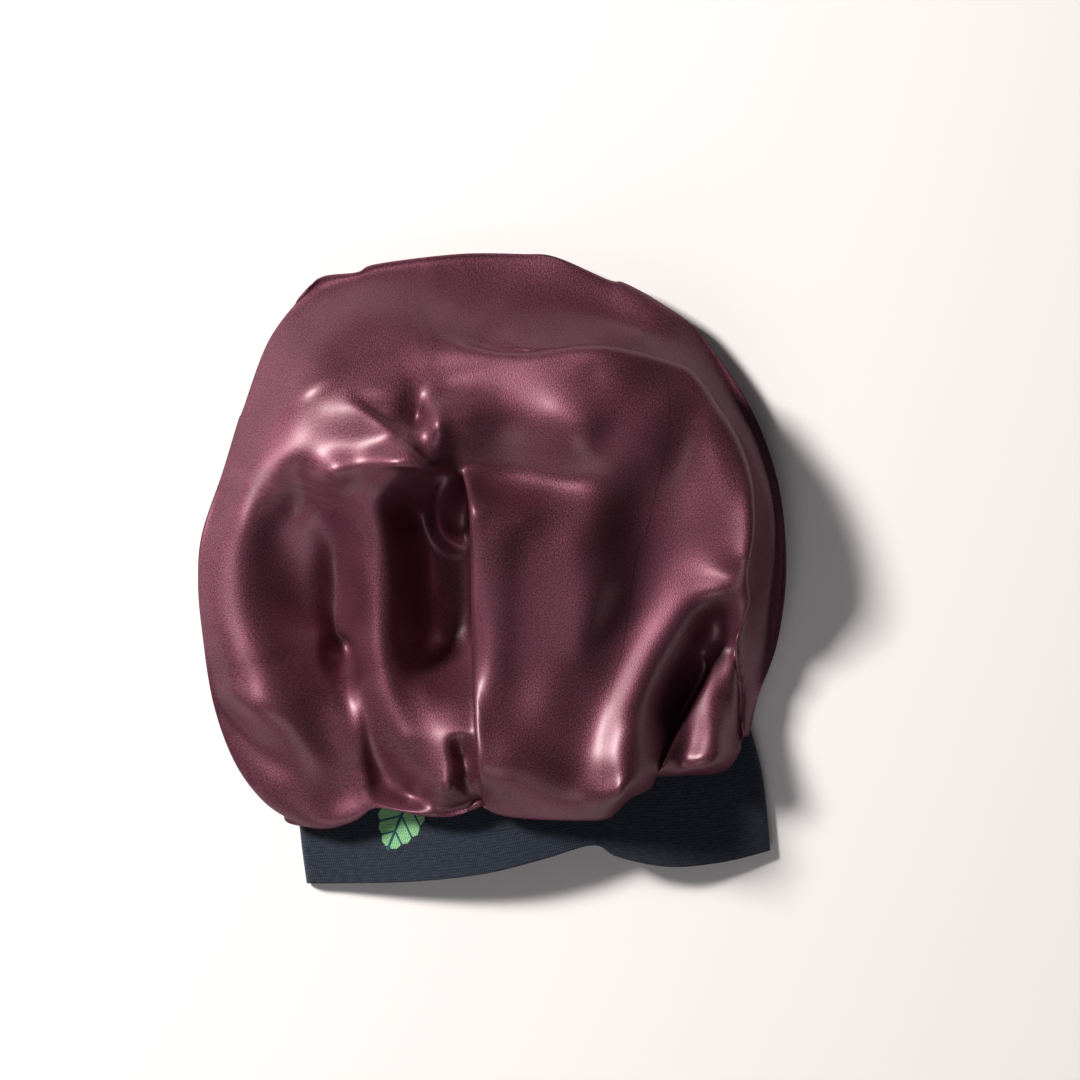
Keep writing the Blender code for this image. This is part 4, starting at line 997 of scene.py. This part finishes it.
# ---- the crown -----------------------------------------------------------------------------------
@dataclass
class SatinCrown:
    """The wide satin bag, puffed and folded, gathered on the band."""

    band: JerseyBand
    node: str = "satin_crown"
    wall: float = 0.0015
    seam_gap: float = 0.0004
    lowest: float = 0.0040  # the upper surface stays above this, clear of the under cloth
    lying_blend: float = 0.0080  # over which the depth of a fold levels out to it
    squares: int = 164  # along each side of the cage's top
    under_squares: int = 16  # from the outline, under the crown, to the seam
    settling: int = 240  # rounds that even out the cage
    easing: int = 3  # passes that round the sharpest folds, as stiff cloth does

    # half the width of the puff's edge, at its left end and on the right
    puff_half_step: tuple[float, float] = (0.024, 0.0014)
    puff_sharpens: tuple[float, float] = (-0.035, 0.025)  # between these x
    puff_curl: float = 0.022  # drop of the puff's rounded edge
    puff_radius: float = 0.004  # over which it drops
    puff_undercut: float = 0.005  # how far the lower layer slides under the puff
    puff_clearance: float = 0.010  # from the outline, within which the undercut sets in
    overlap_curl: float = 0.30  # share of a step that is the rounding of its upper edge
    overlap_fade_power: float = 1.6  # how squarely a step fades out at its reach
    overlap_blend: float = 0.0012  # half the width over which one side gives way to the other
    full_step: float = 0.012  # height from which a step is undercut fully
    gather_reach: float = 0.008  # from a sharp edge, where the cage's squares are smaller
    gather_power: float = 1.6  # how strongly they are drawn
    gather_step: float = 0.006  # height from which a step draws them fully

    tuck_sides: float = 0.020  # how far the cloth tucks in below its turn
    tuck_near: float = 0.006  # the same over the band
    most_tuck: float = 0.45  # of the way to the seam
    tuck_angles: tuple[float, ...] = (15.0, 30.0, 45.0, 60.0, 75.0, 90.0)  # rings down the turn
    # rings on the way along the floor to the band's lower edge, and down to the seam over the band
    floor_runs: tuple[float, ...] = (0.15, 0.30, 0.45, 0.60, 0.75, 0.90)
    hang_runs: tuple[float, ...] = (0.25, 0.50, 0.75, 1.0)
    seam_turn: float = 0.0036  # height of the fold in which the crown's edge turns back
    seam_turn_depth: float = 0.7  # of that fold, in its heights
    # right and left ends of the stretch that hangs over the band, and the runs beside them over
    # which the cloth goes down to the floor
    overhang_ends: Rows = ((0.1315, -0.0795), (-0.1030, -0.1265))
    corner_blends: tuple[float, float] = (0.003, 0.014)
    corner_clearance: float = 0.0025  # off the band's left fold
    corner_step: float = 0.0005  # more of it for each ring further out
    ring_steps: int = 4  # points on each span of the curve through the rings
    seam_start: float = 0.001  # along the side seam, before which none is drawn
    seam_away: float = 0.1  # off the seam, written where there is none
    flat: tuple[float, float] = (0.60, 0.31)

    # the seam that joins the cloth's two side edges: (x, y)
    side_seam: Rows = (
        (0.086, 0.104), (0.088, 0.089), (0.0885, 0.079), (0.088, 0.065), (0.0835, 0.0445),
        (0.0805, 0.031), (0.077, 0.017), (0.073, 0.0095), (0.0695, -0.0125), (0.0655, -0.0395),
        (0.0605, -0.057), (0.057, -0.0765), (0.0555, -0.0915), (0.055, -0.110), (0.052, -0.1225),
    )

    def heights(self, places: np.ndarray) -> np.ndarray:
        """Height of the crown's upper surface.

        Args:
            places: rows of x and y inside its outline.

        Returns:
            The height over each.
        """
        inside = -nearest_on(smooth_path(PUFF_EDGE), places).distance
        sharp = self.sharpness(places)
        half = self.puff_half_step[0] + sharp * (self.puff_half_step[1] - self.puff_half_step[0])
        share = smoothstep(0.5 + 0.5 * inside / half)
        rounding = sharp * self.puff_curl * curl(inside, self.puff_radius)
        front = FoldSpline(FRONT_FOLDS).heights(places) - rounding
        back = FoldSpline(BACK_FOLDS).heights(places)
        heights = back + share * (front - back)
        for overlap in OVERLAPS.values():
            near = nearest_on(smooth_path(overlap.path), places)
            fade = 0.5 * np.exp(-((np.abs(near.distance) / overlap.reach) ** self.overlap_fade_power))
            upper = fade - self.overlap_curl * curl(near.distance, overlap.curl_radius)
            blend = smoothstep(0.5 + 0.5 * near.distance / self.overlap_blend)
            heights = heights + near.values[:, 0] * (upper * blend - fade * (1.0 - blend))
        for wrinkle in WRINKLES.values():
            near = nearest_on(smooth_path(wrinkle.path), places)
            pressed = np.exp(-((near.distance / wrinkle.half_width) ** 2))
            heights = heights + near.values[:, 0] * pressed
        # the bottom of a deep fold levels out above the under cloth
        spare = heights - self.lowest
        heights = self.lowest + 0.5 * (spare + np.hypot(spare, self.lying_blend))
        outline = smooth_path(OUTLINE_RING)
        to_outline = np.abs(nearest_on(outline, places).distance)
        turn, radius = nearest_on(smooth_path(RIM_RING), places).values.T
        return turn + (heights - turn) * (1.0 - curl(to_outline, radius))

    def sharpness(self, places: np.ndarray) -> np.ndarray:
        """How sharp the puff's edge is, 0 on the left to 1 on the right."""
        start, end = self.puff_sharpens
        return smoothstep((places[:, 0] - start) / (end - start))

    def gathered(self, places: np.ndarray) -> np.ndarray:
        """Draws the cage's places towards the sharp edges, so that the mesh is finest there.

        Args:
            places: rows of x and y.

        Returns:
            The moved rows.
        """
        edges = [(smooth_path(OUTLINE_RING), 1.0)]
        edges += [(smooth_path(PUFF_EDGE), self.sharpness(places))]
        edges += [(smooth_path(overlap.path), None) for overlap in OVERLAPS.values()]
        for path, strength in edges:
            near = nearest_on(path, places)
            if strength is None:
                strength = smoothstep(near.values[:, 0] / self.gather_step)
            share = np.clip(np.abs(near.distance) / self.gather_reach, 0.0, 1.0)
            move = near.distance * (1.0 - share ** (self.gather_power - 1.0)) * strength
            places = places - near.left * move[:, None]
        return places

    def tucked(self, places: np.ndarray) -> np.ndarray:
        """Slides the low side of each overlap under its high side.

        Args:
            places: rows of x and y.

        Returns:
            How far each moves along x and y.
        """
        moves = np.zeros_like(places)
        for overlap in OVERLAPS.values():
            near = nearest_on(smooth_path(overlap.path), places)
            low = smoothstep(0.5 - 0.5 * near.distance / self.overlap_blend)
            fade = np.exp(-((np.minimum(near.distance, 0.0) / overlap.reach) ** 2))
            depth = overlap.undercut * smoothstep(near.values[:, 0] / self.full_step)
            moves += near.left * (depth * low * fade)[:, None]
        near = nearest_on(smooth_path(PUFF_EDGE), places)
        half = self.puff_half_step[1]
        low = smoothstep(0.5 + 0.5 * near.distance / half)
        fade = np.exp(-((np.maximum(near.distance, 0.0) / (2 * self.gather_reach)) ** 2))
        outline = smooth_path(OUTLINE_RING)
        from_rim = smoothstep(np.abs(nearest_on(outline, places).distance) / self.puff_clearance)
        depth = self.puff_undercut * self.sharpness(places) * from_rim
        return moves - near.left * (depth * low * fade)[:, None]

    def outline_sides(self) -> list[np.ndarray]:
        """The outline's four sides between the cage's corners, clockwise from the far one.

        Returns:
            Rows of x and y along each side.
        """
        outline = smooth_path(CROWN_OUTLINE, closed=True)
        ends = [int(np.argmin(np.linalg.norm(outline - corner, axis=1))) for corner in CAGE_CORNERS]
        sides = []
        for start, end in zip(ends, ends[1:] + ends[:1]):
            count = (end - start) % len(outline)
            sides.append(outline[(start + np.arange(count + 1)) % len(outline)])
        return sides

    def around(self, u: np.ndarray, v: np.ndarray) -> np.ndarray:
        """Finds where on the outline each point of the cage belongs.

        Args:
            u: the points' columns, counted from the middle.
            v: their rows, counted from the middle.

        Returns:
            Places round the outline: 0 to 4, clockwise from the left far corner.
        """
        size = np.maximum(np.maximum(np.abs(u), np.abs(v)), 1)
        turns = np.where(v == size, 0.5 + 0.5 * u / size, 0.0)
        turns = np.where((u == size) & (v < size), 1.5 - 0.5 * v / size, turns)
        turns = np.where((v == -size) & (u < size), 2.5 - 0.5 * u / size, turns)
        return np.where((u == -size) & (v > -size) & (v < size), 3.5 + 0.5 * v / size, turns)

    def on_outline(self, turns: np.ndarray) -> np.ndarray:
        """Finds points of the outline.

        Args:
            turns: places round it, 0 to 4.

        Returns:
            Rows of x and y.
        """
        found = np.zeros((len(turns), 2))
        for side, path in enumerate(self.outline_sides()):
            here = (np.floor(turns).astype(int) % 4) == side
            run = run_lengths(path) / run_lengths(path)[-1]
            for axis in (0, 1):
                found[here, axis] = np.interp(turns[here] % 1.0, run, path[:, axis])
        return found

    def top_plan(self) -> np.ndarray:
        """Draws the cage's top out to the outline and evens it.

        Returns:
            (columns, rows, 2) places in plan.
        """
        half = self.squares // 2
        steps = np.arange(-half, half + 1)
        u, v = (grid.ravel() for grid in np.meshgrid(steps, steps, indexing="ij"))
        size = np.maximum(np.abs(u), np.abs(v)) / half
        centre = np.array(CAGE_CENTRE)
        plan = centre + size[:, None] * (self.on_outline(self.around(u, v)) - centre)
        plan = plan.reshape(self.squares + 1, self.squares + 1, 2)
        for _ in range(self.settling):
            inner = 0.25 * (plan[2:, 1:-1] + plan[:-2, 1:-1] + plan[1:-1, 2:] + plan[1:-1, :-2])
            plan[1:-1, 1:-1] = inner
        rim = plan.copy()
        moved = self.gathered(plan.reshape(-1, 2)).reshape(plan.shape)
        moved[0], moved[-1], moved[:, 0], moved[:, -1] = rim[0], rim[-1], rim[:, 0], rim[:, -1]
        return moved

    def floor_rings(self, plan: np.ndarray, turn: np.ndarray, seam: np.ndarray) -> list[np.ndarray]:
        """Rings that tuck in below the outline's turn, lie down and run in to the band's lower edge.

        Args:
            plan: rows of x and y on the outline.
            turn: height of the turn at each.
            seam: the place on the seam that each runs to.

        Returns:
            The rings from the outline inwards.
        """
        to_seam = seam[:, :2] - plan
        distance = np.linalg.norm(to_seam, axis=1)
        inward = to_seam / distance[:, None]
        tuck = np.minimum(self.tuck_sides, self.most_tuck * distance)
        rings = []
        for angle in np.radians(self.tuck_angles):
            place = plan + (tuck * (1.0 - np.cos(angle)))[:, None] * inward
            rings.append(np.column_stack([place, turn * (1.0 - np.sin(angle))]))
        contact = rings[-1]
        rings += [contact + share * (seam * (1.0, 1.0, 0.0) - contact) for share in self.floor_runs]
        edge = self.band.seam_left
        for rings_left, ring in enumerate(reversed(rings)):
            before_seam = smoothstep((edge[1] + self.seam_gap - ring[:, 1]) / self.corner_clearance)
            limit = edge[0] - before_seam * (self.corner_clearance + self.corner_step * rings_left)
            beside_band = (ring[:, 0] < 0.0) & (before_seam > 0.0)
            ring[beside_band, 0] = np.minimum(ring[:, 0], limit)[beside_band]
        return rings

    def overhang_rings(self, plan: np.ndarray, turn: np.ndarray, seam: np.ndarray) -> list[np.ndarray]:
        """Rings that hang from the outline over the band's arch and turn back on themselves at the seam.

        Args:
            plan: rows of x and y on the outline.
            turn: height of the turn at each.
            seam: the place on the seam that each runs to.

        Returns:
            The rings from the outline inwards, as many as floor_rings gives.
        """
        tuck = np.clip(self.most_tuck * (seam[:, 1] - plan[:, 1]), 0.0, self.tuck_near)
        rings = []
        for angle in np.radians(self.tuck_angles):
            place = plan + np.outer(tuck * (1.0 - np.cos(angle)), (0.0, 1.0))
            clear = self.band.top(place) + self.seam_turn
            rings.append(np.column_stack([place, clear + (turn - clear) * (1.0 - np.sin(angle))]))
        turn_top = seam + np.array((0.0, 0.0, self.seam_turn))
        turn_back = seam + np.array((0.0, self.seam_turn_depth * self.seam_turn, 0.5 * self.seam_turn))
        hung = rings[-1]
        rings += [hung + share * (turn_top - hung) for share in self.hang_runs]
        return rings + [0.5 * (turn_top + turn_back), turn_back]

    def underside(self, plan: np.ndarray, turn: np.ndarray) -> np.ndarray:
        """The cloth from the outline, under the crown, to the seam with the band.

        Args:
            plan: rows of x and y once round the outline.
            turn: height of the turn at each.

        Returns:
            (rings, points, 3) places, the first ring on the outline and the last on the seam.
        """
        run = run_lengths(np.vstack([plan, plan[:1]]))
        total, run = run[-1], run[:-1]
        first, last = (run[np.argmin(np.linalg.norm(plan - end, axis=1))] for end in self.overhang_ends)
        near_length = (last - first) % total
        from_first = (run - first) % total
        over_band = from_first <= near_length
        floor_share = (from_first - near_length) / (total - near_length)
        gathered = floor_share**2 * (2.0 - floor_share)
        across = np.clip(np.where(over_band, 1.0 - from_first / near_length, gathered), 0.0, 1.0)
        half_turn = np.arccos(1.0 - 2.0 * across) / (2.0 * np.pi)
        around = np.where(over_band, 1.0 - half_turn, half_turn)
        seam = self.band.section(0.0, around) + np.array((0.0, self.seam_gap, 0.0))
        right_blend, left_blend = self.corner_blends
        from_corner = np.minimum(from_first / right_blend, (near_length - from_first) / left_blend)
        share = smoothstep(np.where(over_band, from_corner, 0.0))[:, None]
        mix = np.hstack([share**2, share**2, 1.0 - (1.0 - share) ** 2])
        lying, hanging = self.floor_rings(plan, turn, seam), self.overhang_rings(plan, turn, seam)
        rings = [low + mix * (high - low) for low, high in zip(lying, hanging)]
        return np.array([np.column_stack([plan, turn]), *rings, seam])

    def upper_cloth(self) -> np.ndarray:
        """Lays the cage's top over the folds and rounds the sharpest of them.

        Returns:
            (columns, rows, 3) places.
        """
        top = self.top_plan()
        plan = top.reshape(-1, 2)
        surface = np.column_stack([plan + self.tucked(plan), self.heights(plan)])
        surface = surface.reshape(*top.shape[:2], 3)
        for edge in (np.s_[0], np.s_[-1], np.s_[:, 0], np.s_[:, -1]):
            surface[edge][..., :2] = top[edge]
        for _ in range(self.easing):
            beside = surface[2:, 1:-1] + surface[:-2, 1:-1] + surface[1:-1, 2:] + surface[1:-1, :-2]
            surface[1:-1, 1:-1] += 0.5 * (0.25 * beside - surface[1:-1, 1:-1])
        return surface

    def lower_cloth(self, turns: np.ndarray, depth: np.ndarray) -> np.ndarray:
        """Finds points of the cloth that runs under the crown.

        Args:
            turns: place round the outline of each, 0 to 4.
            depth: rings below the outline, as a share of the way to the seam.

        Returns:
            Rows of x, y and z.
        """
        samples = np.arange(0.0, 4.0, 1.0 / self.squares)
        rim = self.on_outline(samples)
        rings = self.underside(rim, nearest_on(smooth_path(RIM_RING), rim).values[:, 0])
        path = smooth_path([tuple(ring.ravel()) for ring in rings], steps=self.ring_steps)
        path = path.reshape(-1, len(samples), 3)
        place = depth * (len(path) - 1)
        ring = np.minimum(place.astype(int), len(path) - 2)
        spot = turns * self.squares
        left = spot.astype(int) % len(samples)
        right = (left + 1) % len(samples)
        across = (spot % 1.0)[:, None]
        down = (place - ring)[:, None]
        upper = path[ring, left] * (1 - across) + path[ring, right] * across
        lower = path[ring + 1, left] * (1 - across) + path[ring + 1, right] * across
        return upper * (1 - down) + lower * down

    def build(self, finish: SatinFinish) -> bpy.types.Object:
        """Draws a square grid of cloth over the folds, round the outline and under to the seam.

        Args:
            finish: the satin's finish.

        Returns:
            The crown's piece.
        """
        across = self.squares + 2 * self.under_squares
        piece, column, row = new_grid("crown_satin", across, across)
        half = self.squares // 2
        steps = np.arange(-across // 2, across // 2 + 1)
        u, v = (grid.ravel() for grid in np.meshgrid(steps, steps, indexing="ij"))
        level = np.maximum(np.abs(u), np.abs(v)) - half
        on_top = level <= 0
        under = ~on_top
        cloth = np.zeros((len(u), 3))
        cloth[on_top] = self.upper_cloth()[u[on_top] + half, v[on_top] + half]
        cloth[under] = self.lower_cloth(self.around(u, v)[under], level[under] / self.under_squares)

        grid = cloth.reshape(across + 1, across + 1, 3)
        set_places(piece, grid[column, row])
        lengths = cloth_lengths(grid)
        piece.data.uv_layers[0].name = "cloth"
        set_uv(piece, "cloth", np.column_stack([length[column, row] for length in lengths]))
        near = nearest_on(smooth_path(self.side_seam), cloth[:, :2])
        off = np.where(on_top & (near.run > self.seam_start), near.distance, self.seam_away)
        seam = np.column_stack([off, near.run]).reshape(across + 1, across + 1, 2)
        set_uv(piece, "seam", seam[column, row])
        finish_cloth(piece, self.wall, finish.build())
        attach(piece, BODY)
        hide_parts(self.node)
        return piece


# ---- the studio ----------------------------------------------------------------------------------
@dataclass(frozen=True)
class SoftLight:
    """A square light that looks at the bonnet."""

    name: str
    azimuth: float  # degrees from +X towards +Y
    tilt: float  # degrees from straight up
    distance: float
    size: float
    power: float
    colour: str


@dataclass
class Studio:
    """A pale floor, soft lights and a camera straight above."""

    middle: tuple[float, float] = (0.024, 0.0145)  # what the photograph is centred on
    height: float = 0.045  # at which the frame's width holds
    frame_width: float = 0.540
    lens: float = 200.0
    sensor: float = 36.0
    clip_end: float = 20.0
    floor_size: float = 6.0
    sky: str = "#ffffff"
    sky_strength: float = 0.07
    lights: tuple[SoftLight, ...] = (
        SoftLight("key", 150.0, 50.0, 3.0, 0.60, 140.0, "#fff8f4"),
        SoftLight("fill", 262.0, 55.0, 3.0, 2.0, 20.0, "#fff4f6"),
    )

    def build(self) -> None:
        """Makes the floor, the lights, the sky and the camera."""
        bpy.ops.object.select_all(action="DESELECT")
        bpy.ops.mesh.primitive_plane_add(size=self.floor_size)
        floor = bpy.context.object
        floor.name = "floor"
        floor.data.materials.append(FloorFinish().build())
        for light in self.lights:
            self.add_light(light)
        world = bpy.data.worlds.new("studio")
        world.use_nodes = True
        background = world.node_tree.nodes["Background"]
        background.inputs["Color"].default_value = linear(self.sky)
        background.inputs["Strength"].default_value = self.sky_strength
        scene = bpy.context.scene
        scene.world = world
        scene.view_settings.view_transform = "Standard"
        self.add_camera()

    def add_light(self, light: SoftLight) -> None:
        """Hangs one area light and turns it to the bonnet.

        Args:
            light: its place, size, power and colour.
        """
        azimuth, tilt = math.radians(light.azimuth), math.radians(light.tilt)
        away = (math.sin(tilt) * math.cos(azimuth), math.sin(tilt) * math.sin(azimuth), math.cos(tilt))
        place = [light.distance * part for part in away]
        bpy.ops.object.light_add(type="AREA", location=place, rotation=(0.0, tilt, azimuth))
        lamp = bpy.context.object
        lamp.name = light.name
        lamp.data.shape = "SQUARE"
        lamp.data.size = light.size
        lamp.data.energy = light.power
        lamp.data.color = linear(light.colour)[:3]

    def add_camera(self) -> None:
        """Puts the camera straight above, as far as its lens needs for the photograph's frame."""
        distance = self.frame_width * self.lens / self.sensor
        bpy.ops.object.camera_add(
            location=(*self.middle, self.height + distance), rotation=(0.0, 0.0, 0.0))
        camera = bpy.context.object
        camera.name = "camera"
        camera.data.lens = self.lens
        camera.data.sensor_width = self.sensor
        camera.data.clip_end = self.clip_end
        bpy.context.scene.camera = camera


def corners(bounds: tuple) -> list[list[float]]:
    """A box's corners as plain lists."""
    return [[float(part) for part in corner] for corner in bounds]


def main() -> None:
    """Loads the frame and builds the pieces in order."""
    logging.basicConfig(level=logging.INFO, format="%(message)s")
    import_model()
    Studio().build()
    band = JerseyBand()
    crown = SatinCrown(band)
    for piece in (band.build(JerseyFinish()), crown.build(SatinFinish())):
        LOG.info("%s: %d faces", piece.name, len(piece.data.polygons))


if __name__ == "__main__":
    main()
